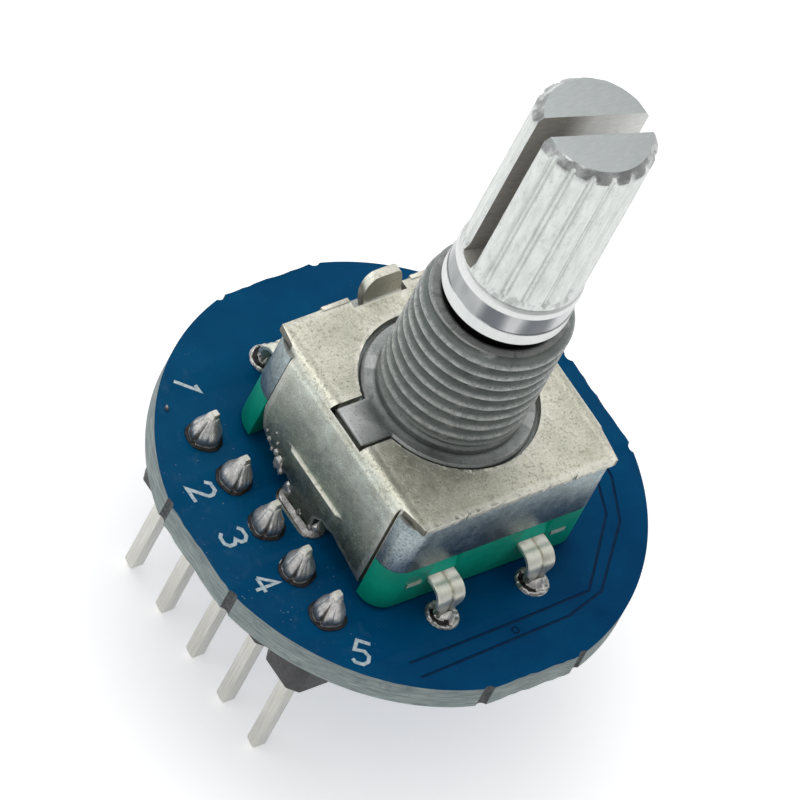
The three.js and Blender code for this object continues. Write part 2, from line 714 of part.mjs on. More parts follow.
// Contact ring with one finger for each detent.
function codeDisc() {
  const bottom = ROTOR_BOTTOM - SEAT_GAP - DISC_THICKNESS;
  const top = ROTOR_BOTTOM - SEAT_GAP;
  const outline = [];
  for (let i = 0; i < DETENTS; i++) {
    const corners = [[-0.25, DISC_OUTER], [0.25, DISC_OUTER], [0.3, DISC_RING], [0.7, DISC_RING]];
    for (const [step, radius] of corners) {
      const angle = 2 * Math.PI * (i + step) / DETENTS;
      outline.push([radius * Math.cos(angle), radius * Math.sin(angle)]);
    }
  }
  const shape = polygon(outline);
  shape.holes.push(roundHole(0, 0, DISC_INNER));
  return prismGeometry(shape, bottom, top, 16);
}

// Flat ring with two bumps that drop into the rotor's valleys.
function detentSpring() {
  const ring = new THREE.Shape().absarc(0, 0, SPRING_OUTER, 0, 2 * Math.PI, false);
  ring.holes.push(roundHole(0, 0, SPRING_INNER));
  const root = SPRING_BOTTOM + 0.05;
  const bump = polygon([[-0.08, BUMP_TIP], [0.08, BUMP_TIP], [0.38, root], [-0.38, root]]);
  const radial = [SPRING_INNER + 0.2, SPRING_OUTER - 0.2];
  const bumps = [0, 180].map((angle) => frontPrism(bump, radial).rotate([0, 0, angle]));
  return prism(ring, SPRING_BOTTOM, SPRING_TOP, 18).add(union(bumps));
}

place('rotor', rotor(), 'rotorWhite');
place('code_disc', codeDisc(), 'copperAlloy');
place('detent_spring', detentSpring(), 'springSteel');

// ---- Push switch ----

function snapDome() {
  const rim = LEAD_TOP + SEAT_GAP;
  const steps = 6;
  const rise = DOME_TOP - DOME_SHEET - rim;
  const under = [];
  const over = [];
  for (let i = 0; i <= steps; i++) {
    const radius = DOME_RADIUS * i / steps;
    const height = rim + rise * (0.5 + 0.5 * Math.cos(Math.PI * i / steps));
    under.push([radius, height]);
    over.unshift([radius, height + DOME_SHEET]);
  }
  return turnedGeometry([...under, ...over], 24);
}

function switchPlunger() {
  const bottom = DOME_TOP + SEAT_GAP;
  return turnedGeometry([
    [0, bottom],
    [PLUNGER_RADIUS, bottom],
    [PLUNGER_RADIUS, bottom + 0.25],
    [PLUNGER_NOSE, bottom + 0.25],
    [PLUNGER_NOSE, PLUNGER_TOP],
    [0, PLUNGER_TOP],
  ], 28);
}

place('snap_dome', snapDome(), 'springSteel');
place('switch_plunger', switchPlunger(), 'black');

export default rotaryEncoder;
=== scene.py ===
"""Visual model of a rotary encoder on a round breakout board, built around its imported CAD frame.

Shapes are made in millimetres in the frame's own axes and written to Blender in metres.
+Z runs up the shaft, -X is the header's side and -Y the side of the two switch terminals.
"""
import math
import random
from functools import cached_property

import bmesh
import bpy
from mathutils import Matrix, Vector, noise

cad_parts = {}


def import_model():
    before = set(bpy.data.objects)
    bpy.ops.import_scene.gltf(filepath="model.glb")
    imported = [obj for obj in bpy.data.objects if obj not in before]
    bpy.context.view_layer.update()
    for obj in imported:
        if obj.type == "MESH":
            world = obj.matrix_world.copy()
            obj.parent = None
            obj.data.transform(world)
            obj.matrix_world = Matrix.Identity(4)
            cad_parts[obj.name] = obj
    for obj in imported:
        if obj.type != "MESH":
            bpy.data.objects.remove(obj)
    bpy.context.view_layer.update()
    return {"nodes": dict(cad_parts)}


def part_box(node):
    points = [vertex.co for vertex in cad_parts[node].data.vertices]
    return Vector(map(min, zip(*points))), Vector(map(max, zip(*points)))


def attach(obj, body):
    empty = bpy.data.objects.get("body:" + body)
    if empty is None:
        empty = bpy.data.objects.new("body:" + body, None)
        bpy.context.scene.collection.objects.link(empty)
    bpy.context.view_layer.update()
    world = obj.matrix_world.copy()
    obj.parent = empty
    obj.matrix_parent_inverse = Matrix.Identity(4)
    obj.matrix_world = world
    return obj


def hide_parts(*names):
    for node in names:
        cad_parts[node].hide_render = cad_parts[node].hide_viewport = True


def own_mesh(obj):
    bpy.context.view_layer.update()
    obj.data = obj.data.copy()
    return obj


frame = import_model()

MM = 0.001
FIXED = "fixed_body"
SHAFT = "shaft_body"
SIDES = (-1, 1)
PINS = [f"header_pin_{i}" for i in range(1, 6)]
LETTERS = "acbde"
SWITCH_LETTERS = "de"


# ---------------------------------------------------------------- frame sizes

def box_mm(node):
    low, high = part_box(node)
    return low / MM, high / MM


def centre_mm(node):
    low, high = box_mm(node)
    return (low + high) / 2


board_low, board_high = box_mm("circuit_board")
frame_low, frame_high = box_mm("metal_frame")
housing_low, housing_high = box_mm("threaded_housing")
base_low, base_high = box_mm("terminal_base")
shaft_low, shaft_high = box_mm("shaft")
BOARD_TOP = board_high.z
BOARD_BOTTOM = board_low.z
BOARD_FLAT = board_high.x
BOARD_RADIUS = max(math.hypot(v.co.x, v.co.y) for v in frame["nodes"]["circuit_board"].data.vertices) / MM
FLAT_HALF_ANGLE = math.degrees(math.acos(BOARD_FLAT / BOARD_RADIUS))
PANEL = BOARD_TOP + 6.5
FLAP_X = frame_high.x
FRAME_FRONT = frame_low.y
BODY_X = housing_high.x
BODY_Y = housing_high.y
BUSHING_TOP = housing_high.z
BASE_BOTTOM = BOARD_TOP + 0.3
BASE_TOP = base_high.z
SHAFT_END = shaft_high.z
COLLAR_BOTTOM = BOARD_TOP + 14.2
KNURL_BOTTOM = BOARD_TOP + 16.5
TERMINAL_PITCH = 2.5


# ---------------------------------------------------------------- mesh tools

WELD = 1e-4


def link(data, name="shape"):
    obj = bpy.data.objects.new(name, data)
    bpy.context.scene.collection.objects.link(obj)
    return obj


def mesh_object(verts, faces, name="shape"):
    mesh = bpy.data.meshes.new(name)
    mesh.from_pydata([tuple(v) for v in verts], [], faces)
    mesh.update()
    return link(mesh, name)


def edited(obj, change):
    """Runs one bmesh change on the object's mesh."""
    bm = bmesh.new()
    bm.from_mesh(obj.data)
    change(bm)
    bm.to_mesh(obj.data)
    bm.free()
    return obj


def outward(obj):
    """Makes every face point outwards."""
    return edited(obj, lambda bm: bmesh.ops.recalc_face_normals(bm, faces=bm.faces))


def weld(obj):
    return edited(obj, lambda bm: bmesh.ops.remove_doubles(bm, verts=bm.verts, dist=WELD))


def box(x, y, z):
    """Box between two limits along each axis, given in either order."""
    verts = [(i, j, k) for i in sorted(x) for j in sorted(y) for k in sorted(z)]
    faces = [(0, 1, 3, 2), (4, 6, 7, 5), (0, 4, 5, 1), (2, 3, 7, 6), (0, 2, 6, 4), (1, 5, 7, 3)]
    return outward(mesh_object(verts, faces))


def prism(outline, bottom, top, holes=()):
    """Upright solid on a closed (x, y) outline, with optional closed hole outlines."""
    curve = bpy.data.curves.new("outline", "CURVE")
    curve.dimensions = "2D"
    curve.fill_mode = "BOTH"
    curve.extrude = (top - bottom) / 2
    for points in [outline, *holes]:
        spline = curve.splines.new("POLY")
        spline.points.add(len(points) - 1)
        spline.use_cyclic_u = True
        for point, (x, y) in zip(spline.points, points):
            point.co = (x, y, 0, 1)
    obj = link(curve)
    mesh = bpy.data.meshes.new_from_object(obj.evaluated_get(bpy.context.evaluated_depsgraph_get()))
    bpy.data.objects.remove(obj)
    bpy.data.curves.remove(curve)
    mesh.transform(Matrix.Translation((0, 0, (bottom + top) / 2)))
    return outward(weld(link(mesh)))


def side_prism(outline, x):
    """Solid on a (y, z) outline across the range x."""
    obj = prism(outline, x[0], x[1])
    obj.data.transform(Matrix(((0, 0, 1, 0), (1, 0, 0, 0), (0, 1, 0, 0), (0, 0, 0, 1))))
    return obj


def front_prism(outline, y):
    """Solid on an (x, z) outline across the range y."""
    obj = prism(outline, -y[1], -y[0])
    obj.data.transform(Matrix.Rotation(math.radians(90), 4, "X"))
    return outward(obj)


def loft(rings):
    """Skin over closed rings of equal point count, capped at both ends."""
    count = len(rings[0])
    faces = []
    for k in range(len(rings) - 1):
        for i in range(count):
            j = (i + 1) % count
            faces.append((k * count + i, k * count + j, (k + 1) * count + j, (k + 1) * count + i))
    last = (len(rings) - 1) * count
    faces.append(tuple(range(count))[::-1])
    faces.append(tuple(last + i for i in range(count)))
    return outward(mesh_object([point for ring in rings for point in ring], faces))


def lathe(profile, segments=96, radius_at=None):
    """Solid of revolution about Z from (radius, height) points that start and end on the axis or close up.

    radius_at(radius, height, angle) may vary the radius round the axis.
    """
    closed = profile[0] == profile[-1]
    rings, verts = [], []
    for radius, height in profile[:-1] if closed else profile:
        if radius == 0:
            rings.append([len(verts)] * segments)
            verts.append((0, 0, height))
            continue
        rings.append(list(range(len(verts), len(verts) + segments)))
        for i in range(segments):
            angle = 2 * math.pi * i / segments
            r = radius_at(radius, height, angle) if radius_at else radius
            verts.append((r * math.cos(angle), r * math.sin(angle), height))
    if closed:
        rings.append(rings[0])
    faces = []
    for low, high in zip(rings, rings[1:]):
        for i in range(segments):
            j = (i + 1) % segments
            corners = tuple(dict.fromkeys((low[i], low[j], high[j], high[i])))
            if len(corners) > 2:
                faces.append(corners)
    return outward(mesh_object(verts, faces))


def merge(*objects):
    """One object holding several separate shells."""
    bm = bmesh.new()
    for obj in objects:
        bm.from_mesh(obj.data)
    mesh = bpy.data.meshes.new("shells")
    bm.to_mesh(mesh)
    bm.free()
    for material in objects[0].data.materials:
        mesh.materials.append(material)
    for obj in objects:
        bpy.data.objects.remove(obj)
    return link(mesh)


def paint(obj, *materials):
    for material in materials:
        obj.data.materials.append(material)
    return obj


def apply_modifiers(obj):
    """Bakes the object's modifiers into its mesh."""
    evaluated = obj.evaluated_get(bpy.context.evaluated_depsgraph_get())
    baked = bpy.data.meshes.new_from_object(evaluated)
    obj.modifiers.clear()
    old = obj.data
    obj.data = baked
    bpy.data.meshes.remove(old)
    return obj


def boolean(obj, operation, others, material):
    """Combines the object with others in turn; their new faces take the material, if one is given."""
    for other in others:
        if material:
            paint(other, material)
        modifier = obj.modifiers.new("boolean", "BOOLEAN")
        modifier.operation = operation
        modifier.solver = "EXACT"
        modifier.material_mode = "TRANSFER"
        modifier.object = other
        apply_modifiers(obj)
        bpy.data.objects.remove(other)
    return obj


def cut(obj, *others, material=None):
    return boolean(obj, "DIFFERENCE", others, material)


def join(obj, *others, material=None):
    return boolean(obj, "UNION", others, material)


def common(obj, other):
    return boolean(obj, "INTERSECT", [other], None)


def round_edges(obj, width, segments, angle):
    """Adds a bevel on edges sharper than an angle in degrees."""
    modifier = obj.modifiers.new("bevel", "BEVEL")
    modifier.width = width
    modifier.segments = segments
    modifier.limit_method = "ANGLE"
    modifier.angle_limit = math.radians(angle)


def bevel(obj, width, segments=2, angle=30):
    round_edges(obj, width, segments, angle)
    return apply_modifiers(obj)


def shift(obj, x=0.0, y=0.0, z=0.0):
    obj.data.transform(Matrix.Translation((x, y, z)))
    return obj


def copy_node(node):
    """A working copy of a CAD node's own mesh, in millimetres."""
    mesh = frame["nodes"][node].data.copy()
    mesh.transform(Matrix.Scale(1 / MM, 4))
    mesh.materials.clear()
    return outward(weld(link(mesh)))


def finish(obj, node, material, sharp=32, body=FIXED):
    """Scales a millimetre mesh to metres, smooths it, and puts it in a CAD node's place on its body."""
    obj.name = obj.data.name = node + "_fine"
    obj.data.transform(Matrix.Scale(MM, 4))
    obj.data.shade_smooth()
    obj.data.set_sharp_from_angle(angle=math.radians(sharp))
    if not any(obj.data.materials):
        obj.data.materials.clear()
        obj.data.materials.append(material)
    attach(obj, body)
    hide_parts(node)
    return obj


def arc(cx, cy, radius, start, end, steps):
    """Points on an arc, angles in degrees, both ends included."""
    angles = [math.radians(start + (end - start) * i / steps) for i in range(steps + 1)]
    return [(cx + radius * math.cos(a), cy + radius * math.sin(a)) for a in angles]


def circle(cx, cy, radius, steps=48):
    return arc(cx, cy, radius, 0, 360, steps)[:-1]


def slot_outline(half_x, half_y, x=0.0, steps=10):
    """Slot with round ends, long along Y."""
    straight = half_y - half_x
    return arc(x, straight, half_x, 0, 180, steps) + arc(x, -straight, half_x, 180, 360, steps)


def smoothstep(value):
    value = min(1, max(0, value))
    return value * value * (3 - 2 * value)


def wave(seed, angle, height, turns=1.0, rise=1.0):
    """Smooth noise round a turned surface, about -1 to 1."""
    return noise.noise(Vector((math.cos(angle) * turns, math.sin(angle) * turns, height * rise + seed * 7.3)))


def split_faces(obj, test):
    """Gives the second material to the faces whose centre passes the test, and the first to the rest."""
    for polygon in obj.data.polygons:
        polygon.material_index = int(test(polygon.center))
    return obj


# ---------------------------------------------------------------- node builder

def rgba(colour):
    return (*colour, 1) if isinstance(colour, tuple) else (colour, colour, colour, 1)


class Nodes:
    """Small builder for the node tree of a material or a world."""

    def __init__(self, owner):
        owner.use_nodes = True
        self.owner = owner
        self.tree = owner.node_tree

    def feed(self, node, inputs):
        """Links or sets a node's inputs, given by index or name; None leaves one as it is."""
        for key, value in inputs.items():
            socket = node.inputs[key]
            if isinstance(value, bpy.types.NodeSocket):
                self.tree.links.new(value, socket)
            elif value is not None:
                socket.default_value = rgba(value) if socket.type == "RGBA" else value

    def node(self, kind, inputs, output=0, **settings):
        """Adds a node and returns one of its outputs, by index or name."""
        made = self.tree.nodes.new("ShaderNode" + kind)
        for key, value in settings.items():
            setattr(made, key, value)
        self.feed(made, inputs)
        return made.outputs[output]

    @cached_property
    def millimetres(self):
        position = self.node("TexCoord", {}, "Object")
        return self.node("VectorMath", {0: position, "Scale": 1 / MM}, operation="SCALE")

    def stretched(self, scales):
        """Coordinates in millimetres, multiplied along each axis."""
        if not scales:
            return self.millimetres
        return self.node("VectorMath", {0: self.millimetres, 1: scales}, operation="MULTIPLY")

    def math(self, operation, a, b=None, clamp=False):
        return self.node("Math", {0: a, 1: b}, operation=operation, use_clamp=clamp)

    def mul(self, first, *others):
        """Product of sockets and numbers."""
        for other in others:
            first = self.math("MULTIPLY", first, other)
        return first

    def linear(self, value, factor, offset, clamp=True):
        """value * factor + offset, kept between 0 and 1."""
        return self.node("Math", {0: value, 1: factor, 2: offset}, operation="MULTIPLY_ADD", use_clamp=clamp)

    def beyond(self, value, start, slope):
        """Rises from 0 at start by the slope to 1; a negative slope counts down from start."""
        return self.linear(value, slope, -slope * start)

    def between(self, value, low, high, slope=12.0):
        """1 where the value lies between two limits, falling off steeply outside them."""
        return self.mul(self.linear(value, slope, 0.5 - slope * low), self.linear(value, -slope, 0.5 + slope * high))

    def noise(self, scale, detail=3.0, roughness=0.55, stretch=None, distortion=0.0):
        inputs = {"Vector": self.stretched(stretch), "Scale": scale, "Detail": detail, "Roughness": roughness,
                  "Distortion": distortion}
        return self.node("TexNoise", inputs, "Fac")

    def cells(self, scale, stretch=None):
        """Distance to the nearest of many scattered points."""
        return self.node("TexVoronoi", {"Vector": self.stretched(stretch), "Scale": scale}, "Distance")

    def ramp(self, value, *stops):
        """Colour ramp from (position, grey or colour) stops."""
        colour = self.node("ValToRGB", {0: value}, "Color")
        elements = colour.node.color_ramp.elements
        while len(elements) < len(stops):
            elements.new(0.5)
        for element, (at, shade) in zip(elements, stops):
            element.position = at
            element.color = rgba(shade)
        return colour

    def fade(self, value, start, end):
        """0 before start and 1 after end; with start above end, 1 below end and 0 above start."""
        return self.ramp(value, *sorted([(start, 0.0), (end, 1.0)]))

    def mix(self, factor, a, b, blend="MIX"):
        return self.node("Mix", {0: factor, 6: a, 7: b}, 2, data_type="RGBA", blend_type=blend)

    def over(self, tone, colour, *strength, blend="MIX"):
        """Lays a colour over a tone with the product of the strengths."""
        return self.mix(self.mul(*strength), tone, colour, blend)

    def bump(self, height, strength, distance, normal=None):
        """Bump whose height runs over 0 to 1 across a distance in millimetres."""
        inputs = {"Strength": strength, "Distance": distance * MM, "Height": height, "Normal": normal}
        return self.node("Bump", inputs, "Normal")

    def edges(self, low=0.5, high=0.6):
        """1 on convex edges, 0 elsewhere."""
        return self.fade(self.node("NewGeometry", {}, "Pointiness"), low, high)

    def facing(self, axis):
        """One component of the surface normal in the object's axes."""
        return self.node("SeparateXYZ", {0: self.node("TexCoord", {}, "Normal")}, axis)

    def axis(self, axis):
        """One coordinate in millimetres."""
        return self.node("SeparateXYZ", {0: self.millimetres}, axis)

    def radius(self):
        """Distance from the shaft's axis in millimetres."""
        return self.node("VectorMath", {0: self.stretched((1, 1, 0))}, "Value", operation="LENGTH")

    def surface(self, colour, roughness, metallic=0.0, normal=None, specular=None, coat=(None, None)):
        self.feed(self.tree.nodes["Principled BSDF"], {
            "Base Color": colour, "Roughness": roughness, "Metallic": metallic, "Normal": normal,
            "Specular IOR Level": specular, "Coat Weight": coat[0], "Coat Roughness": coat[1]})
        return self.owner


def new_material(name):
    return Nodes(bpy.data.materials.new(name))


# ---------------------------------------------------------------- materials

def solder_mask():
    """Deep blue mask over glass cloth with a painted shade gradient across it, hazed and dusted with flux residue near
    the header.
    """
    n = new_material("solder_mask")
    cloudy = n.fade(n.noise(0.35, 4), 0.35, 0.75)
    # back and front are tones of the one mask, mixed by position towards -Y and +X: a painted shade gradient across the
    # board.
    back = n.mix(cloudy, (0.0, 0.058, 0.145), (0.0, 0.074, 0.172))
    front = n.mix(cloudy, (0.0, 0.046, 0.135), (0.0, 0.07, 0.18))
    shade = n.math("ADD", n.linear(n.axis("Y"), -0.055, 0.25), n.linear(n.axis("X"), 0.03, 0.25), clamp=True)
    tone = n.mix(shade, back, front)
    near_header = n.linear(n.axis("X"), -0.45, -2.2)
    haze = n.fade(n.noise(1.3, 6, 0.7, distortion=0.6), 0.55, 0.78)
    tone = n.over(tone, (0.13, 0.2, 0.27), haze, near_header, 0.16)
    patches = n.fade(n.noise(0.8, 4, 0.6), 0.5, 0.6)
    dust = n.fade(n.cells(3.4), 0.16, 0.06)
    tone = n.over(tone, (0.3, 0.38, 0.44), dust, patches, near_header, 0.45)
    tone = n.over(tone, (0.2, 0.28, 0.34), n.fade(n.cells(2.1), 0.06, 0.0), 0.25)
    normal = n.bump(n.noise(9, 3), 0.06, 0.01, n.bump(n.noise(2.6, 4, 0.6), 0.08, 0.02))
    roughness = n.ramp(n.noise(0.8, 5, 0.65), (0.3, 0.26), (0.8, 0.42))
    return n.surface(tone, roughness, normal=normal, specular=0.03)


def board_edge():
    """Routed glass-fibre edge: pale grey-green with fibres along the cut."""
    n = new_material("board_edge")
    layers = n.noise(3.0, 4, stretch=(0.35, 0.35, 4.5))
    tone = n.ramp(layers, (0.25, (0.12, 0.15, 0.155)), (0.6, (0.27, 0.325, 0.32)), (0.85, (0.48, 0.53, 0.51)))
    tone = n.over(tone, (0.1, 0.13, 0.15), n.fade(n.noise(1.6, 5, 0.7), 0.56, 0.7), 0.5)
    normal = n.bump(n.noise(7, 5, 0.7), 0.35, 0.04, n.bump(layers, 0.5, 0.05))
    return n.surface(tone, 0.72, normal=normal)


def solder(name, foot):
    """Cooled solder: bright skin with grey, grainy patches and flow lines, dark with flux at its foot."""
    n = new_material(name)
    grain = n.fade(n.noise(3.2, 6, 0.7, distortion=0.5), 0.3, 0.7)
    tone = n.mix(grain, (0.44, 0.43, 0.41), (0.9, 0.885, 0.855))
    height = n.beyond(n.axis("Z"), BOARD_TOP + 0.15, 1 / 0.55)
    patchy = n.ramp(n.noise(2.0, 4, 0.6), (0.35, 0.55), (0.65, 1.0))
    tone = n.over(tone, (0.05, 0.047, 0.05), n.math("SUBTRACT", 1.0, height), patchy, foot)
    roughness = n.ramp(grain, (0.0, 0.48), (1.0, 0.2))
    flow = n.noise(3.0, 3, stretch=(2.2, 2.2, 0.35))
    normal = n.bump(n.noise(16, 4, 0.6), 0.3, 0.015, n.bump(flow, 0.4, 0.08))
    return n.surface(tone, roughness, 0.78, normal)


def plated_strip():
    """Tin-plated terminal strip with rolling lines, pressed wear and a stained crease down its middle."""
    n = new_material("plated_strip")
    rolled = n.noise(2.4, 4, stretch=(6, 0.6, 0.6))
    tone = n.ramp(rolled, (0.25, (0.7, 0.71, 0.59)), (0.75, (0.93, 0.94, 0.82)))
    tone = n.over(tone, (0.42, 0.4, 0.33), n.fade(n.noise(3.0, 5, 0.7), 0.55, 0.7), 0.4)
    across = n.mul(n.math("SIGN", n.axis("Y")), n.axis("X"), -1 / TERMINAL_PITCH)
    middle = n.math("FRACT", n.math("ADD", across, 0.5))
    broken = n.ramp(n.noise(4.0, 4, 0.7), (0.35, 0.4), (0.6, 1.0))
    tone = n.over(tone, (0.26, 0.22, 0.14), n.between(middle, 0.515, 0.56, 60.0), broken, 0.7)
    tone = n.over(tone, (0.3, 0.27, 0.23), n.beyond(n.axis("Z"), BOARD_TOP + 0.9, -2.5), 0.6)
    # Paler on convex edges: a painted edge highlight.
    tone = n.over(tone, (0.94, 0.93, 0.88), n.edges(), 0.4)
    normal = n.bump(n.noise(12, 3), 0.15, 0.01, n.bump(rolled, 0.25, 0.02))
    return n.surface(tone, n.ramp(rolled, (0.2, 0.34), (0.8, 0.5)), 0.85, normal)


def plated_sheet():
    """Creamy plated steel sheet, peppered with pits; the flaps take a duller, greener tone of grime and painted shade
    that darkens towards the board, with a pale painted gloss near their tops and pale painted highlight specks. Painted
    shade also lies on the tab's front face and on the cut faces round the body's corners, and a painted highlight runs
    along the edges.
    """
    n = new_material("plated_sheet")
    height = n.axis("Z")
    cloud = n.fade(n.noise(0.55, 5, 0.6), 0.3, 0.72)
    tone = n.mix(cloud, (0.56, 0.555, 0.465), (0.785, 0.775, 0.66))
    stains = n.fade(n.noise(1.2, 6, 0.75, distortion=0.4), 0.52, 0.7)
    tone = n.over(tone, (0.36, 0.345, 0.25), stains, 0.4)
    # The flaps, facing ±X, take a greener, darker tone that grows towards the board: partly grime, partly painted shade
    # on the upright faces.
    flap = n.fade(n.math("ABSOLUTE", n.facing("X")), 0.35, 0.85)
    fine_grime_and_shade = n.ramp(n.noise(5.0, 8, 0.85), (0.4, (0.13, 0.165, 0.14)), (0.58, (0.5, 0.58, 0.5)))
    broad_grime_and_shade = n.ramp(n.noise(0.8, 4, 0.6), (0.35, (0.23, 0.28, 0.25)), (0.65, (0.5, 0.57, 0.5)))
    low = n.linear(height, -0.26, 0.26 * PANEL - 0.15)
    tone = n.over(tone, n.mix(0.5, fine_grime_and_shade, broad_grime_and_shade), flap, low)
    # Nearly black painted shade over the flaps' lower part, near the board.
    tone = n.over(tone, (0.09, 0.11, 0.1), flap, n.beyond(height, BOARD_TOP + 2.9, -0.5), 0.75)
    # The tab's face towards -Y is painted a darker tan: painted shade on the side turned from the light.
    tab = n.mul(n.beyond(height, PANEL + 0.1, 9.0), n.fade(n.mul(n.facing("Y"), -1.0), 0.45, 0.7))
    tone = n.over(tone, n.mix(cloud, (0.3, 0.26, 0.17), (0.48, 0.44, 0.32)), tab, 0.55)
    # A pale painted gloss over the upper flaps: a painted highlight.
    painted_sheen = n.mul(flap, n.beyond(height, PANEL - 2.6, 0.8), n.ramp(n.noise(1.1, 4, 0.6), (0.35, 0.3), (0.6, 1.0)))
    tone = n.over(tone, (0.88, 0.97, 0.9), painted_sheen, 0.6)
    grain = n.ramp(n.noise(11, 4, 0.75), (0.36, (0.62, 0.62, 0.59)), (0.56, 1.0))
    tone = n.over(tone, grain, 0.75, blend="MULTIPLY")
    pits = n.fade(n.noise(5.5, 4, 0.6), 0.43, 0.33)
    fine = n.fade(n.cells(8.5), 0.2, 0.0)
    patchy = n.ramp(n.noise(0.9, 3), (0.42, 0.25), (0.6, 1.0))
    pits = n.math("MAXIMUM", n.mul(pits, 0.8), n.mul(fine, patchy))
    tone = n.over(tone, (0.2, 0.19, 0.145), pits, 0.36)
    # Pale painted highlight specks scattered over the flaps.
    painted_glints = n.fade(n.cells(4.6, (1.1, 1, 1)), 0.16, 0.0)
    tone = n.over(tone, (0.75, 0.77, 0.72), painted_glints, flap, 0.5)
    # Paler on convex edges: a painted edge highlight.
    tone = n.over(tone, (0.88, 0.86, 0.79), n.edges(0.51, 0.58), 0.35)
    # Cut faces at the flaps' ends and beside them are painted nearly black: painted shade in the gaps round the body's
    # corners.
    for facing, place, reach in [("Y", "X", 5.2), ("X", "Y", 4.6)]:
        faced = n.fade(n.math("ABSOLUTE", n.facing(facing)), 0.75, 0.9)
        sheared = n.beyond(n.math("ABSOLUTE", n.axis(place)), reach, 20.0)
        tone = n.over(tone, (0.09, 0.085, 0.065), faced, sheared, 0.85)
    normal = n.bump(n.math("SUBTRACT", 1.0, pits), 0.5, 0.025)
    normal = n.bump(n.noise(3.5, 6, 0.65), 0.25, 0.035, normal)
    return n.surface(tone, n.ramp(n.noise(2.2, 5, 0.65), (0.25, 0.36), (0.75, 0.54)), 1.0, normal)


def die_cast_zinc():
    """Die-cast zinc: mottled walls with a painted bluish cast, a dark boss, painted shade in the thread's roots and the
    bushing's mouth, and painted highlights on the thread's crests and on edges.
    """
    n = new_material("die_cast_zinc")
    height = n.axis("Z")
    cloud = n.fade(n.noise(0.7, 5, 0.65), 0.3, 0.72)
    tone = n.mix(cloud, (0.155, 0.17, 0.167), (0.335, 0.36, 0.352))
    flow = n.fade(n.noise(1.3, 6, 0.7, (0.8, 0.8, 2.0), 0.8), 0.5, 0.75)
    tone = n.over(tone, (0.36, 0.365, 0.365), flow, 0.4)
    threaded = n.beyond(height, PANEL + 0.15, 2.0)
    tone = n.over(tone, (0.255, 0.292, 0.275), threaded, 0.5)
    # Painted shade down in the thread's roots.
    tone = n.over(tone, (0.11, 0.115, 0.1), n.beyond(n.radius(), 3.24, -7.0), threaded, 0.5)
    # Pale painted highlights along the thread's crests, broken up by noise.
    crest_painted_highlight = n.ramp(n.noise(2.6, 6, 0.8), (0.42, 0.05), (0.6, 1.0))
    tone = n.over(tone, (0.7, 0.73, 0.71), n.beyond(n.radius(), 3.37, 8.0), threaded, crest_painted_highlight, 0.75)
    # Paler on convex edges: a painted edge highlight.
    tone = n.over(tone, (0.6, 0.6, 0.6), n.edges(0.51, 0.57), 0.5)
    # Upright walls are tinted brighter and bluer by their facing: a painted cast of light and bluish reflection on
    # them.
    wall = n.mul(n.fade(n.math("ABSOLUTE", n.facing("Z")), 0.7, 0.3), n.beyond(height, PANEL - 0.2, -4.0))
    tone = n.over(tone, (1.46, 1.66, 1.73), wall, 0.9, blend="MULTIPLY")
    mottle = n.ramp(n.noise(3.2, 7, 0.85, distortion=0.4), (0.4, 0.5), (0.6, 1.0))
    tone = n.over(tone, mottle, wall, 0.5, blend="MULTIPLY")
    scratches = n.fade(n.noise(2.2, 6, 0.8, (0.5, 0.5, 1.6)), 0.56, 0.68)
    tone = n.over(tone, (0.62, 0.68, 0.7), scratches, wall, 0.4)
    grain = n.noise(9, 5, 0.7)
    tone = n.over(tone, n.ramp(grain, (0.42, 0.55), (0.55, 1.0)), wall, 0.6, blend="MULTIPLY")
    tone = n.over(tone, (0.13, 0.145, 0.15), n.math("SUBTRACT", 1.0, n.fade(grain, 0.3, 0.45)))
    # Painted shade inside the bushing's mouth, round the shaft.
    tone = n.over(tone, (0.11, 0.115, 0.11), n.beyond(n.radius(), 2.86, -10.0), n.beyond(height, PANEL, 4.0))
    normal = n.bump(n.mul(n.noise(3.4, 7, 0.8), threaded), 0.9, 0.1, n.bump(grain, 0.35, 0.025))
    roughness = n.ramp(n.noise(3, 5, 0.7), (0.25, 0.38), (0.8, 0.58))
    return n.surface(tone, n.math("SUBTRACT", roughness, n.mul(wall, 0.12)), 1.0, normal)


# Painted dark reflections on the shaft's smooth, low-roughness ring: (azimuth in degrees, spread).
PAINTED_REFLECTIONS = ((214, 0.035), (255, 0.05), (30, 0.05), (95, 0.03), (330, 0.04))
RING_RADIUS = 2.94


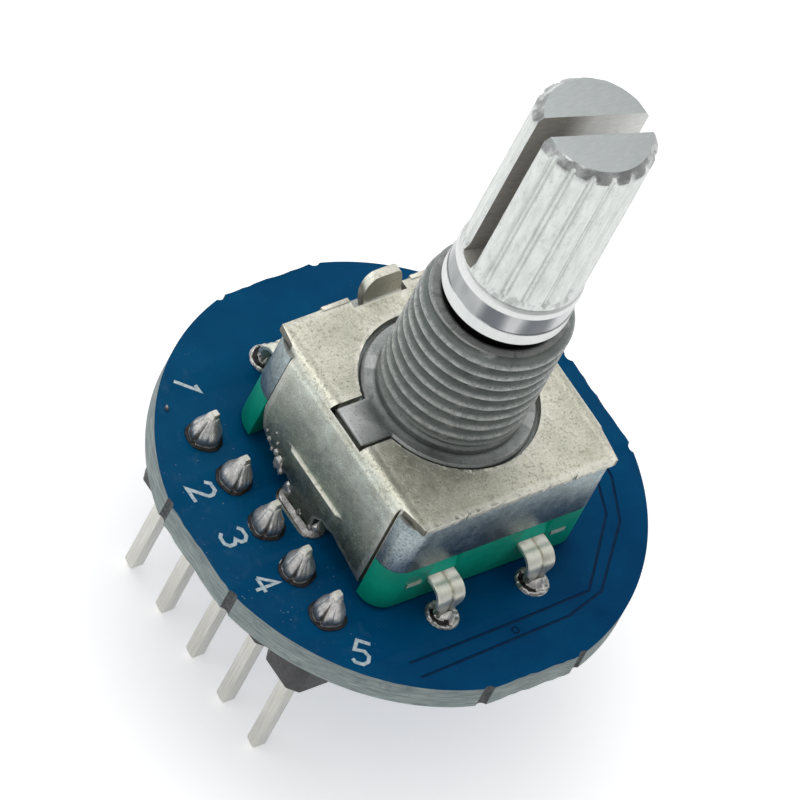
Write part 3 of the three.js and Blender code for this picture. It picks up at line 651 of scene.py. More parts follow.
def bright_aluminium():
    """White turned band and ledge, a smoother ring between them painted grey with dark painted reflections, pale pitted
    knurl with painted shade patches at its foot, painted shade on the shaft below the collar, sawn grey end.
    """
    n = new_material("bright_aluminium")
    height = n.axis("Z")
    drawn = n.noise(1.6, 5, 0.6, (3.0, 3.0, 0.45))
    turned = n.ramp(drawn, (0.25, (0.72, 0.74, 0.73)), (0.6, (0.78, 0.8, 0.79)))
    pale = n.ramp(drawn, (0.25, (0.6, 0.63, 0.61)), (0.6, (0.76, 0.79, 0.77)))
    knurled = n.beyond(height, KNURL_BOTTOM - 0.02, 20.0)
    tone = n.mix(knurled, turned, pale)
    dents = n.mul(n.fade(n.noise(1.7, 7, 0.75, (1.8, 1.8, 0.9)), 0.53, 0.68), knurled)
    tone = n.over(tone, (0.45, 0.46, 0.455), dents, 0.55)
    specks = n.fade(n.noise(3.6, 6, 0.75, (1.0, 1.0, 0.75)), 0.58, 0.68)
    tone = n.over(tone, (0.38, 0.39, 0.385), specks, knurled, 0.5)
    bruises = n.fade(n.noise(1.3, 5, 0.65), 0.42, 0.56)
    tone = n.over(tone, (0.3, 0.31, 0.315), n.beyond(height, SHAFT_END - 0.75, 3.0), bruises, 0.75)
    # Dark noise patches round the knurl's foot: painted shade.
    foot = n.between(height, KNURL_BOTTOM + 0.02, KNURL_BOTTOM + 0.7, 4.0)
    foot_painted_shade = n.fade(n.noise(1.9, 4, 0.6, (1.5, 1.5, 0.7)), 0.5, 0.6)
    tone = n.over(tone, (0.33, 0.34, 0.33), foot, foot_painted_shade, 0.55)
    # The smooth ring is painted a mid grey with dark patches at set angles: painted reflections.
    ring_painted_reflection = n.ramp(n.noise(0.5, 2, 0.5, (1, 1, 0.4)), (0.35, (0.33, 0.345, 0.35)), (0.6, (0.56, 0.57, 0.58)))
    for degrees, spread in PAINTED_REFLECTIONS:
        angle = math.radians(degrees)
        towards = n.math("ADD", n.mul(n.axis("X"), math.cos(angle)), n.mul(n.axis("Y"), math.sin(angle)))
        dark = n.ramp(n.math("DIVIDE", towards, RING_RADIUS), (1 - spread, 0.0), (1 - spread / 6, 0.9))
        ring_painted_reflection = n.over(ring_painted_reflection, (0.13, 0.14, 0.155), dark)
    ring = n.between(height, COLLAR_BOTTOM + 0.72, KNURL_BOTTOM - 0.46)
    tone = n.over(tone, ring_painted_reflection, ring)
    # Painted shade on the shaft below the collar, down in the bushing.
    tone = n.over(tone, (0.1, 0.1, 0.095), n.beyond(height, COLLAR_BOTTOM - 0.02, -20.0))
    sawn = n.ramp(n.noise(2, 4, stretch=(1, 7, 1)), (0.3, (0.42, 0.45, 0.45)), (0.7, (0.49, 0.52, 0.515)))
    tone = n.over(tone, sawn, n.fade(n.facing("Z"), 0.9, 0.97), n.beyond(height, SHAFT_END - 0.1, 20.0))
    normal = n.bump(drawn, 0.14, 0.03, n.bump(dents, -0.35, 0.05))
    roughness = n.mix(ring, n.ramp(n.noise(2.5, 5, 0.65), (0.25, 0.28), (0.8, 0.44)),
                      n.ramp(n.noise(1.5, 3), (0.3, 0.16), (0.8, 0.26)))
    return n.surface(tone, roughness, 1.0, normal)


def green_plastic(name, light):
    """Glass-filled moulding with a fine sparkle."""
    n = new_material(name)
    cloud = n.fade(n.noise(0.8, 4), 0.3, 0.7)
    # light scales the whole tone; a value above 1 paints light onto faces that catch more of it.
    tone = n.mix(cloud, (0.0, 0.22 * light, 0.15 * light), (0.0, 0.3 * light, 0.205 * light))
    tone = n.over(tone, (0.1, 0.36, 0.26), n.fade(n.noise(7, 4, 0.7, (1.8, 0.5, 1.2)), 0.6, 0.74), 0.25)
    roughness = n.ramp(n.noise(4, 4), (0.25, 0.38), (0.8, 0.55))
    return n.surface(tone, roughness, normal=n.bump(n.noise(10, 4, 0.6), 0.2, 0.015), specular=0.2)


def black_plastic():
    n = new_material("black_plastic")
    tone = n.ramp(n.noise(3, 4), (0.3, (0.012, 0.012, 0.014)), (0.8, (0.034, 0.034, 0.037)))
    # Paler on convex edges: a painted edge highlight.
    tone = n.over(tone, (0.11, 0.11, 0.115), n.edges(), 0.35)
    roughness = n.ramp(n.noise(5, 3), (0.3, 0.42), (0.8, 0.62))
    return n.surface(tone, roughness, normal=n.bump(n.noise(12, 4), 0.3, 0.02))


def chip_resistor():
    """Black glaze over a white ceramic body: the sides show the ceramic."""
    n = new_material("chip_resistor")
    under = n.fade(n.mul(n.facing("Z"), -1.0), 0.6, 0.75)
    glaze = n.ramp(n.noise(5, 3), (0.3, (0.012, 0.012, 0.014)), (0.8, (0.035, 0.035, 0.04)))
    ceramic = n.ramp(n.noise(8, 3), (0.3, (0.6, 0.6, 0.58)), (0.8, (0.78, 0.78, 0.76)))
    return n.surface(n.mix(under, ceramic, glaze), 0.3, normal=n.bump(n.noise(14, 3), 0.12, 0.01), coat=(0.4, 0.1))


def slot_wall():
    """Sawn walls of the shaft's slot: streaked, painted dark towards -X as painted shade and paler towards the open +X
    end as painted light.
    """
    n = new_material("slot_wall")
    streaks = n.noise(2.2, 5, 0.65, (1, 1, 5))
    # The walls run from a painted shade tone to a pale painted light tone towards the open +X end.
    painted_shade_tone = n.ramp(streaks, (0.3, (0.3, 0.29, 0.265)), (0.75, (0.5, 0.485, 0.45)))
    pale = n.ramp(streaks, (0.3, (0.8, 0.81, 0.79)), (0.7, (0.97, 0.97, 0.96)))
    tone = n.mix(n.linear(n.axis("X"), 0.9, 0.85), painted_shade_tone, pale)
    return n.surface(tone, 0.5, 0.35, n.bump(streaks, 0.4, 0.03))


def simple(name, grain, dark, light, roughness, relief, metallic=0.0, specular=None):
    """Material of two shades of one noise.

    Noises are arguments of Nodes.noise, None for the colour's own; dark and light are (position, colour).
    roughness is a number or (noise, low stop, high stop), and relief is (noise, strength, depth in mm).
    """
    n = new_material(name)
    pattern = n.noise(*grain)

    def chosen(arguments):
        return n.noise(*arguments) if arguments else pattern

    if isinstance(roughness, tuple):
        roughness = n.ramp(chosen(roughness[0]), *roughness[1:])
    normal = n.bump(chosen(relief[0]), *relief[1:])
    return n.surface(n.ramp(pattern, dark, light), roughness, metallic, normal, specular)


MASK = solder_mask()
EDGE = board_edge()
SOLDER = solder("solder", 0.25)
DARK_SOLDER = solder("header_solder_metal", 0.82)
STRIP = plated_strip()
SHEET_METAL = plated_sheet()
ZINC = die_cast_zinc()
ALUMINIUM = bright_aluminium()
GREEN = green_plastic("green_plastic", 1.0)
# A copy painted 1.4 times lighter for the ramps by the terminals: painted light on their sloped faces.
GREEN_PAINTED_LIT = green_plastic("green_ramp", 1.4)
BLACK = black_plastic()
RESISTOR = chip_resistor()
SLOT_WALL = slot_wall()
# Scorched, torn fibre where the board was snapped from its panel.
BROKEN = simple("broken_edge", (5, 6, 0.75), (0.3, (0.02, 0.025, 0.03)), (0.75, (0.16, 0.17, 0.17)),
                0.85, (None, 0.7, 0.08))
# Dark lines where copper areas under the mask end: bare laminate through the mask, darkened further as painted shade of
# the copper's raised edges.
GAP = simple("mask_gap", (2, 3), (0.3, (0.0, 0.016, 0.052)), (0.7, (0.0, 0.028, 0.085)),
             0.5, ((8, 3), 0.1, 0.01), specular=0.08)
INK = simple("silkscreen", (5, 5, 0.7), (0.34, (0.26, 0.36, 0.42)), (0.6, (0.55, 0.63, 0.66)),
             0.62, ((14, 3), 0.25, 0.01))
# Hot-air-levelled pad metal.
PAD = simple("tinned_copper", (4, 4), (0.3, (0.52, 0.52, 0.5)), (0.7, (0.78, 0.78, 0.75)),
             ((6, 3), (0.2, 0.18), (0.8, 0.38)), ((5, 4), 0.2, 0.02), 1.0)
# Dark, glassy flux residue at the foot of a joint.
FLUX = simple("flux_residue", (3, 4), (0.3, (0.006, 0.006, 0.009)), (0.8, (0.03, 0.025, 0.026)),
              0.35, ((5, 4), 0.4, 0.04), specular=0.25)
PIN = simple("tinned_pin", (3.2, 4, 0.55, (6, 6, 0.25)), (0.25, (0.6, 0.59, 0.54)), (0.75, (0.83, 0.82, 0.78)),
             (None, (0.2, 0.3), (0.8, 0.48)), (None, 0.25, 0.015), 1.0)
# Freshly sheared end of a terminal strip, bright and matt.
SHEARED = simple("sheared_strip", (5, 5, 0.7, (0.6, 1, 2)), (0.3, (0.5, 0.5, 0.42)), (0.65, (0.86, 0.87, 0.78)),
                 0.5, (None, 0.3, 0.02), 0.2)
NATURAL = simple("rotor_plastic", (2, 4), (0.3, (0.62, 0.61, 0.56)), (0.8, (0.76, 0.75, 0.71)),
                 0.5, ((9, 3), 0.15, 0.015))
natural_shader = NATURAL.node_tree.nodes["Principled BSDF"]
natural_shader.inputs["Subsurface Weight"].default_value = 0.1
natural_shader.inputs["Subsurface Radius"].default_value = (0.0004, 0.0004, 0.0003)
SPRING = simple("spring_steel", (2.0, 4, 0.55, (0.5, 5, 5)), (0.3, (0.42, 0.42, 0.43)), (0.7, (0.62, 0.62, 0.63)),
                (None, (0.2, 0.2), (0.8, 0.36)), (None, 0.2, 0.015), 1.0)
BRASS = simple("contact_brass", (1.4, 5, 0.65), (0.3, (0.6, 0.42, 0.16)), (0.75, (0.82, 0.63, 0.3)),
               (None, (0.2, 0.16), (0.8, 0.34)), ((9, 3), 0.15, 0.01), 1.0)


# ---------------------------------------------------------------- circuit board

GROOVE_DEPTH = 0.03
INK_RISE = 0.02
PAD_RISE = 0.03
PAD_THICKNESS = 0.06
PIN_HOLE, PIN_PAD = 0.5, 0.78
TERMINAL_HOLE, TERMINAL_PAD = 0.6, 0.8
LEG_SLOT = (0.55, 1.35)
BITE_RADIUS = 0.34
BITE_REACH = BOARD_RADIUS + 0.2
BITE_ANGLE = FLAT_HALF_ANGLE + 1.1
TRACK_GAP_WIDTH = 0.13
VIA = (0.3, -8.9)
VIA_RADII = (0.2, 0.12)
# Heights for cutters that pass right through the board and the base.
THROUGH = (0, 20)
TRACK_GAPS = [
    [(-5.4, -8.62), (0.5, -8.5), (4.75, -8.36), (5.5, -7.65), (7.9, -5.2), (8.6, -3.4), (8.9, -1.5)],
    [(-5.3, -9.45), (-2.6, -9.36), (3.1, -9.16), (5.3, -8.6), (8.3, -5.75), (9.3, -3.6), (9.6, -1.4)],
]
DIGIT_HEIGHT = 1.2
DIGIT_STROKE = 0.17
# Strokes of each digit in a box one unit high, its centre on the board, and its reading direction.
DIGITS = [
    ([[(0.12, 0.8), (0.3, 1.0), (0.3, 0.0)]], (-6.85, 7.6), (-0.71, -0.70)),
    ([[(0, 0.8), (0.14, 1), (0.46, 1), (0.6, 0.82), (0.6, 0.62), (0.02, 0), (0.64, 0)]], (-9.35, 2.6), (0, -1)),
    ([[(0, 0.86), (0.15, 1), (0.45, 1), (0.6, 0.85), (0.6, 0.66), (0.42, 0.52), (0.6, 0.38), (0.6, 0.15),
       (0.45, 0), (0.15, 0), (0, 0.14)]], (-9.35, 0.0), (0, -1)),
    ([[(0.46, 0), (0.46, 1), (0.0, 0.32)], [(0.02, 0.32), (0.66, 0.32)]], (-9.35, -2.6), (0, -1)),
    ([[(0.58, 1), (0.06, 1), (0.02, 0.56), (0.4, 0.6), (0.6, 0.42), (0.6, 0.18), (0.43, 0), (0.13, 0),
       (0, 0.12)]], (-7.2, -7.35), (0.76, -0.65)),
]


def board_outline():
    """Round outline whose four flats are slightly ragged where the board was snapped out."""
    rng = random.Random(4)
    points = []
    for side in range(4):
        rounded = arc(0, 0, BOARD_RADIUS, 90 * side + FLAT_HALF_ANGLE, 90 * side + 90 - FLAT_HALF_ANGLE, 48)
        start = Vector(rounded[-1])
        end = Vector(arc(0, 0, BOARD_RADIUS, 0, 90 * side + 90 + FLAT_HALF_ANGLE, 1)[-1])
        points += rounded
        for k in range(1, 14):
            points.append(tuple(start.lerp(end, k / 14) * (1 + rng.uniform(-0.0035, 0.003))))
    return points


def ribbon(points, width):
    """Outline of a stroke of constant width along a polyline."""
    points = [Vector(p) for p in points]
    left, right = [], []
    for i, point in enumerate(points):
        ahead = (points[min(i + 1, len(points) - 1)] - points[min(i, len(points) - 2)]).normalized()
        behind = (points[max(i, 1)] - points[max(i - 1, 0)]).normalized()
        normal = Vector((-(ahead + behind).y, (ahead + behind).x)).normalized()
        spread = width / 2 / max(0.4, normal.dot(Vector((-ahead.y, ahead.x))))
        left.append(tuple(point + normal * spread))
        right.append(tuple(point - normal * spread))
    return left + right[::-1]


def digit(strokes, centre, reading):
    """Printed digit: raised ink strokes, read along the direction given."""
    along = Vector(reading).normalized()
    up = Vector((-along.y, along.x))
    solids = []
    for stroke in strokes:
        points = [Vector(centre) + along * (x - 0.3) * DIGIT_HEIGHT + up * (y - 0.5) * DIGIT_HEIGHT for x, y in stroke]
        solids.append(prism(ribbon(points, DIGIT_STROKE), BOARD_TOP - 0.05, BOARD_TOP + INK_RISE))
    return join(*solids)


def plated_hole(x, y, hole, pad):
    """Barrel and both pads of a plated hole."""
    low, high = BOARD_BOTTOM - PAD_RISE, BOARD_TOP + PAD_RISE
    inside, barrel = hole - 0.03, hole + 0.04
    tube = lathe([(inside, low), (pad, low), (pad, low + PAD_THICKNESS), (barrel, low + PAD_THICKNESS),
                  (barrel, high - PAD_THICKNESS), (pad, high - PAD_THICKNESS), (pad, high), (inside, high),
                  (inside, low)], 40)
    return shift(tube, x, y)


def plated_slot(x):
    """Sleeve and both pads of the slot for a frame leg."""
    low, high = BOARD_BOTTOM - PAD_RISE, BOARD_TOP + PAD_RISE

    def slab(grow, bottom, top):
        return prism(slot_outline(LEG_SLOT[0] + grow, LEG_SLOT[1] + grow, x), bottom, top)

    sleeve = slab(0.04, low + 0.02, high - 0.02)
    join(sleeve, slab(0.1, low, low + PAD_THICKNESS), slab(0.1, high - PAD_THICKNESS, high))
    return cut(sleeve, slab(-0.03, low - 1, high + 1))


def circuit_board():
    board = paint(prism(board_outline(), BOARD_BOTTOM, BOARD_TOP), MASK, EDGE)
    bevel(board, 0.045, 2, 50)
    bites = []
    for quarter in range(4):
        for end in SIDES:
            angle = math.radians(90 * quarter + end * BITE_ANGLE)
            bite = prism(circle(0, 0, BITE_RADIUS, 14), BOARD_BOTTOM - 1, BOARD_TOP + 1)
            bites.append(shift(bite, BITE_REACH * math.cos(angle), BITE_REACH * math.sin(angle)))
    cut(board, merge(*bites), material=BROKEN)

    levels = (BOARD_TOP - GROOVE_DEPTH, BOARD_TOP + 1)
    grooves = [prism(ribbon(path, TRACK_GAP_WIDTH), *levels) for path in TRACK_GAPS]
    ring, island = [circle(*VIA, radius, 24) for radius in VIA_RADII]
    grooves.append(prism(ring, *levels, [island]))
    cut(board, merge(*grooves), material=GAP)

    plating, drills = [], []
    for node, hole, pad in ([(pin, PIN_HOLE, PIN_PAD) for pin in PINS]
                            + [("terminal_solder_" + letter, TERMINAL_HOLE, TERMINAL_PAD) for letter in LETTERS]):
        x, y = centre_mm(node).xy
        plating.append(plated_hole(x, y, hole, pad))
        drills.append(shift(prism(circle(0, 0, hole, 40), *THROUGH), x, y))
    for side in ("left", "right"):
        x = centre_mm("frame_solder_" + side).x
        plating.append(plated_slot(x))
        drills.append(prism(slot_outline(*LEG_SLOT, x), *THROUGH))
    cut(board, merge(*drills))
    join(board, merge(*plating), material=PAD)
    join(board, merge(*[digit(*label) for label in DIGITS]), material=INK)

    for polygon in board.data.polygons:
        if polygon.material_index == 0 and abs(polygon.normal.z) < 0.9:
            polygon.material_index = 1
    finish(board, "circuit_board", MASK)


# ---------------------------------------------------------------- header

QUADRANTS = [(1, 1), (-1, 1), (-1, -1), (1, -1)]
PIN_EXTRA = 0.15
PIN_TAPER = 0.35
PIN_CORNER = 0.05
SOCKET_HALF = 0.34
CELL_NOTCH = 0.45


def header_insulator():
    low, high = box_mm("header_insulator")
    half_x = (high.x - low.x) / 2
    pitch = (high.y - low.y) / len(PINS)
    waist = half_x - CELL_NOTCH
    edge = []
    for cell in range(len(PINS)):
        start = low.y + cell * pitch
        edge += [(waist, start), (half_x, start + CELL_NOTCH), (half_x, start + pitch - CELL_NOTCH)]
    edge.append((waist, high.y))
    outline = edge + [(-x, y) for x, y in reversed(edge)]
    strip = bevel(shift(prism(outline, low.z, high.z), centre_mm("header_insulator").x), 0.07, 2, 20)
    sockets = []
    for pin in PINS:
        at = centre_mm(pin)
        steps = [(low.z - 0.1, 0.52), (low.z + 0.12, 0.5), (low.z + 0.32, SOCKET_HALF), (high.z + 1, SOCKET_HALF)]
        sockets.append(loft([[(at.x + sx * half, at.y + sy * half, z) for sx, sy in QUADRANTS] for z, half in steps]))
    finish(cut(strip, merge(*sockets)), "header_insulator", BLACK)


def rounded_square(at, half, z):
    corner = min(PIN_CORNER, half * 0.9)
    ring = []
    for quarter, (sx, sy) in enumerate(QUADRANTS):
        ring += arc(sx * (half - corner), sy * (half - corner), corner, 90 * quarter, 90 * quarter + 90, 2)
    return [(at.x + x, at.y + y, z) for x, y in ring]


def header_pin(node):
    low, high = box_mm(node)
    half = (high.x - low.x) / 2
    tip = high.z + PIN_EXTRA
    steps = [(low.z, 0.45), (low.z + 0.04, 0.5), (low.z + PIN_TAPER, 0.985), (low.z + PIN_TAPER + 0.06, 1.0),
             (tip - 1.0, 1.0), (tip - 0.9, 0.97), (tip - 0.06, 0.56), (tip, 0.46)]
    finish(loft([rounded_square(centre_mm(node), half * k, z) for z, k in steps]), node, PIN)


def seam(angle, at, width):
    """Depth of one lengthwise crease, 1 at its middle."""
    distance = math.remainder(angle - at, 2 * math.pi)
    return math.exp(-((distance / width) ** 2))


def droplet(at, radius, seed):
    """Small frozen splash, flattened towards the sheet it sticks to."""
    bm = bmesh.new()
    bmesh.ops.create_icosphere(bm, subdivisions=3, radius=radius)
    for vert in bm.verts:
        vert.co *= 1 + 0.45 * noise.noise(vert.co / radius * 1.5 + Vector((seed * 5, 0, 0)))
        vert.co.x *= 0.6
        vert.co.z *= 1.3
    mesh = bpy.data.meshes.new("drop")
    bm.to_mesh(mesh)
    bm.free()
    return shift(link(mesh), *at)


JOINT_GAP = 0.004
JOINT_FOOT = BOARD_TOP + PAD_RISE + JOINT_GAP
JOINT_UNDER = BOARD_BOTTOM - PAD_RISE - JOINT_GAP
PIN_HOLE_HALF = 0.33
PIN_HOLE_TOP = BOARD_TOP + 0.35
STRAY_DROP = (-8.45, 6.9, BOARD_TOP + 0.06)
CONE_RISE = 1.47
# Joint's profile over its foot, as (radius, height).
CONE = [(0.87, 0.0), (0.86, 0.03), (0.79, 0.055), (0.73, 0.08), (0.7, 0.14), (0.71, 0.24), (0.72, 0.36), (0.71, 0.47),
        (0.67, 0.58), (0.61, 0.7), (0.55, 0.82), (0.49, 0.94), (0.43, 1.06), (0.38, 1.18), (0.335, 1.3), (0.3, 1.4),
        (0.26, 1.46)]


def header_solder(index):
    """Full, garlic-shaped joint that narrows to the pin's tip, with deep creases down its sides."""
    node = f"header_solder_{index}"
    centre = centre_mm(node)
    rng = random.Random(20 + index)
    crease = math.radians(210 + rng.uniform(-22, 22))
    lean = rng.uniform(0, 2 * math.pi)
    profile = [(0, JOINT_FOOT)] + [(r, JOINT_FOOT + h) for r, h in CONE] + [(0, JOINT_FOOT + CONE_RISE)]

    def shape(radius, height, angle):
        rise = (height - JOINT_FOOT) / CONE_RISE
        waver = 0.1 * wave(index, angle, height, 1.3, 0.9) + 0.045 * wave(index + 9, angle, height, 3.0, 2.0)
        body = math.sin(math.pi * min(1, max(0, rise) ** 0.7))
        fold = (0.36 * seam(angle, crease, 0.085) + 0.07 * seam(angle, crease + 0.8, 0.1)
                + 0.07 * seam(angle, crease - 0.95, 0.12)) * body
        lips = 0.09 * (seam(angle, crease + 0.24, 0.14) + seam(angle, crease - 0.24, 0.14)) * body
        bulge = 0.08 * math.cos(angle - lean) * (1 - rise)
        return radius * (1 + (waver + bulge + lips) * (1 - 0.6 * rise) - fold)

    blob = split_faces(lathe(profile, 120, shape), lambda c: c.z < JOINT_FOOT + 0.07)
    paint(shift(blob, centre.x, centre.y), DARK_SOLDER, FLUX)
    hole = box(*[(at - PIN_HOLE_HALF, at + PIN_HOLE_HALF) for at in centre.xy], (BOARD_TOP - 1, PIN_HOLE_TOP))
    cut(blob, hole, material=DARK_SOLDER)
    if index == 1:
        blob = merge(blob, droplet(STRAY_DROP, 0.13, 3))
    finish(blob, node, DARK_SOLDER, 50)


RESISTOR_INSET = 0.03
CAP_LENGTH = 0.3


def resistor(index):
    """Chip resistor under the board: glazed body, two end caps and a fillet of solder at each."""
    node = f"pullup_resistor_{index}"
    low, high = box_mm(node)
    body = box(*[(low[i] + RESISTOR_INSET, high[i] - RESISTOR_INSET) for i in range(3)])
    bevel(paint(body, RESISTOR, PAD, SOLDER), 0.03)
    for x in [(low.x, low.x + CAP_LENGTH), (high.x - CAP_LENGTH, high.x)]:
        join(body, bevel(box(x, (low.y, high.y), (low.z, high.z)), 0.05), material=PAD)
    for side, x in zip(SIDES, (low.x, high.x)):
        outline = [(x - side * 0.1, high.z), (x + side * 0.38, high.z), (x + side * 0.2, high.z - 0.09),
                   (x + side * 0.08, high.z - 0.22), (x + side * 0.03, high.z - 0.34),
                   (x - side * 0.1, high.z - 0.34)]
        join(body, bevel(front_prism(outline, (low.y + 0.04, high.y - 0.04)), 0.03), material=SOLDER)
    finish(body, node, RESISTOR)


# ---------------------------------------------------------------- terminals

STRIP_MIDDLE = BOARD_TOP + 1.675
STRIP_THICKNESS = 0.25
STRIP_WIDTH = 1.5
GROOVE = 0.07
BEND = 0.62
SWITCH_END_X = (3.6, 4.4)
STRIP_HOLE = (0.42, 0.145)
BARREL = 0.555


def strip_section(width, groove):
    """Cross-section of a terminal strip as (across, out) points, with a pressed groove on its outer face."""
    half, thick = width / 2, STRIP_THICKNESS / 2
    edge = min(0.05, half * 0.4)
    outer = [(half, thick - edge), (half - edge, thick)]
    for across, depth in [(0.3, 0), (0.2, 0.5), (0.14, 1), (0.04, 1), (-0.02, 0.4), (-0.1, 0)]:
        outer.append((min(across, half - edge * 1.5), thick - depth * groove))
    outer += [(-half + edge, thick), (-half, thick - edge)]
    inner = [(-half, -thick + edge), (-half + edge, -thick)]
    inner += [(a, -thick - 0.4 * groove * d) for a, d in [(-0.15, 0), (0.0, 0.7), (0.12, 1), (0.3, 0)]]
    inner += [(half - edge, -thick), (half, -thick + edge)]
    return outer + inner


def terminal_path(row):
    """Centre line of a strip outside the base: (y, z, outward normal y, normal z, width, groove)."""
    steps = [(BODY_Y - 0.25, STRIP_MIDDLE, 0.0, 1.0, STRIP_WIDTH, GROOVE)]
    centre_y, centre_z = row - BEND, STRIP_MIDDLE - BEND
    for k in range(11):
        angle = math.radians(90 - 9 * k)
        steps.append((centre_y + BEND * math.cos(angle), centre_z + BEND * math.sin(angle),
                      math.cos(angle), math.sin(angle), STRIP_WIDTH, GROOVE))
    low = box_mm("switch_terminal_d")[0].z
    for z, width, groove in [(centre_z - 0.08, 1.49, GROOVE), (centre_z - 0.2, 1.38, 0.06),
                             (centre_z - 0.36, 1.1, 0.05), (centre_z - 0.5, 0.88, 0.03), (BOARD_TOP + 0.3, 0.8, 0.0),
                             (BOARD_TOP - 1, 0.8, 0.0), (low + 0.12, 0.8, 0.0), (low, 0.62, 0.0)]:
        steps.append((row, z, 1.0, 0.0, width, groove))
    return steps


def terminal(letter):
    """New strip outside the base, joined to the CAD node's own inner part."""
    node = ("switch_terminal_" if letter in SWITCH_LETTERS else "encoder_terminal_") + letter
    at = centre_mm("terminal_solder_" + letter)
    side = math.copysign(1, at.y)
    rings = []
    for y, z, ny, nz, width, groove in terminal_path(abs(at.y)):
        rings.append([(at.x - side * across, side * (y + ny * out), z + nz * out)
                      for across, out in strip_section(width, groove)])
    strip = paint(copy_node(node), STRIP)
    cut(strip, box((at.x - 1, at.x + 1), (side * (BODY_Y - 0.1), side * 9), THROUGH))
    join(strip, loft(rings), material=STRIP)
    if letter in SWITCH_LETTERS:
        end = bevel(box([math.copysign(x, at.x) for x in SWITCH_END_X], (-BODY_Y - 0.03, 0.3 - BODY_Y),
                        (STRIP_MIDDLE - STRIP_THICKNESS / 2, STRIP_MIDDLE + STRIP_THICKNESS / 2)), 0.02)
        join(strip, end, material=SHEARED)
    finish(strip, node, STRIP, 35)


def terminal_solder(letter):
    """Joint that fills its plated hole, with a ragged collar above and a tail below."""
    node = "terminal_solder_" + letter
    centre = centre_mm(node)
    low = box_mm(node)[0].z
    seed = 40 + ord(letter)
    below = [(0.4, 0.0), (0.47, 0.04), (0.53, 0.16), (0.6, 0.34), (0.68, 0.5)]
    above = [(0.77, 0.0), (0.77, 0.05), (0.73, 0.09), (0.67, 0.1), (0.6, 0.07), (0.53, 0.08), (0.47, 0.14),
             (0.42, 0.21), (0.37, 0.28), (0.31, 0.34), (0.24, 0.39), (0.16, 0.42), (0, 0.43)]
    profile = [(0, low)] + [(r, low + h) for r, h in below]
    profile += [(0.74, JOINT_UNDER - 0.05), (0.76, JOINT_UNDER), (BARREL, JOINT_UNDER), (BARREL, JOINT_FOOT)]
    profile += [(r, JOINT_FOOT + h) for r, h in above]

    def shape(radius, height, angle):
        if BOARD_BOTTOM < height < BOARD_TOP or radius == BARREL:
            return radius
        return radius * (1 + 0.07 * wave(seed, angle, height, 1.2, 0.8) + 0.07 * wave(seed + 5, angle, height, 4, 4))

    joint = lathe(profile, 96, shape)
    for vert in joint.data.vertices:
        if vert.co.z > JOINT_FOOT + 0.03:
            vert.co.z += 0.1 * noise.noise(Vector((vert.co.x * 4, vert.co.y * 4, seed)))
    dark = random.Random(seed).uniform(-0.6, 0.6) + math.pi

    def residue(c):
        return (c.z > JOINT_FOOT - 0.05 and 0.46 < math.hypot(c.x, c.y) < 0.66
                and math.cos(math.atan2(c.y, c.x) - dark) > 0.35)

    split_faces(joint, residue)
    paint(shift(joint, centre.x, centre.y), SOLDER, FLUX)
    slot = box(*[(at - half, at + half) for at, half in zip(centre.xy, STRIP_HOLE)], THROUGH)
    finish(cut(joint, slot, material=SOLDER), node, SOLDER, 50)


# ---------------------------------------------------------------- base and housing

BODY_CORNER = 1.1
BACK_CORNER = 1.5
RELIEF_X = 5.38
RELIEF_Y = 4.62
RELIEF_Y_SHORT = 4.24
RECESS_X = 5.02
CORNER_X = 4.5
CORNER_Y = 3.1
CORNER_TOP = BOARD_TOP + 1.6
HOLLOW_BOTTOM = BASE_BOTTOM + 1.1
RAMP_BOTTOM = BOARD_TOP + 1.83
RAMP_DEPTH = 0.34
RAMP_HALF = 0.78
FOOT_RADIUS = 0.45
FOOT_X, FOOT_Y = 4.2, 4.6
BODY_TOP = PANEL - 0.42
CAVITY_RADIUS = 4.7
CAVITY_TOP = BOARD_TOP + 5.2
LOBE_X = (-5.54, -1)
LOBE_HALF = 1.06
THREAD_ROOT = 3.06
THREAD_CREST = 3.5
THREAD_PITCH = 0.75
THREAD_START = PANEL + 0.3
BORE = 2.45
BORE_MOUTH = 0.3
BOSS = 4.05


def body_block(bottom, top, material):
    """Rounded block with a shallow relief under each of the frame's flaps."""
    plan = []
    for quarter, (sx, sy) in enumerate(QUADRANTS):
        radius = BACK_CORNER if sy > 0 else BODY_CORNER
        plan += arc(sx * (BODY_X - radius), sy * (BODY_Y - radius), radius, 90 * quarter, 90 * quarter + 90, 14)
    block = paint(prism(plan, bottom, top), material)
    reliefs = [box((side * RELIEF_X, side * (BODY_X + 1)), (side * RELIEF_Y, -side * RELIEF_Y_SHORT),
                   (bottom - 1, top + 1)) for side in (1, -1)]
    return cut(block, merge(*reliefs))


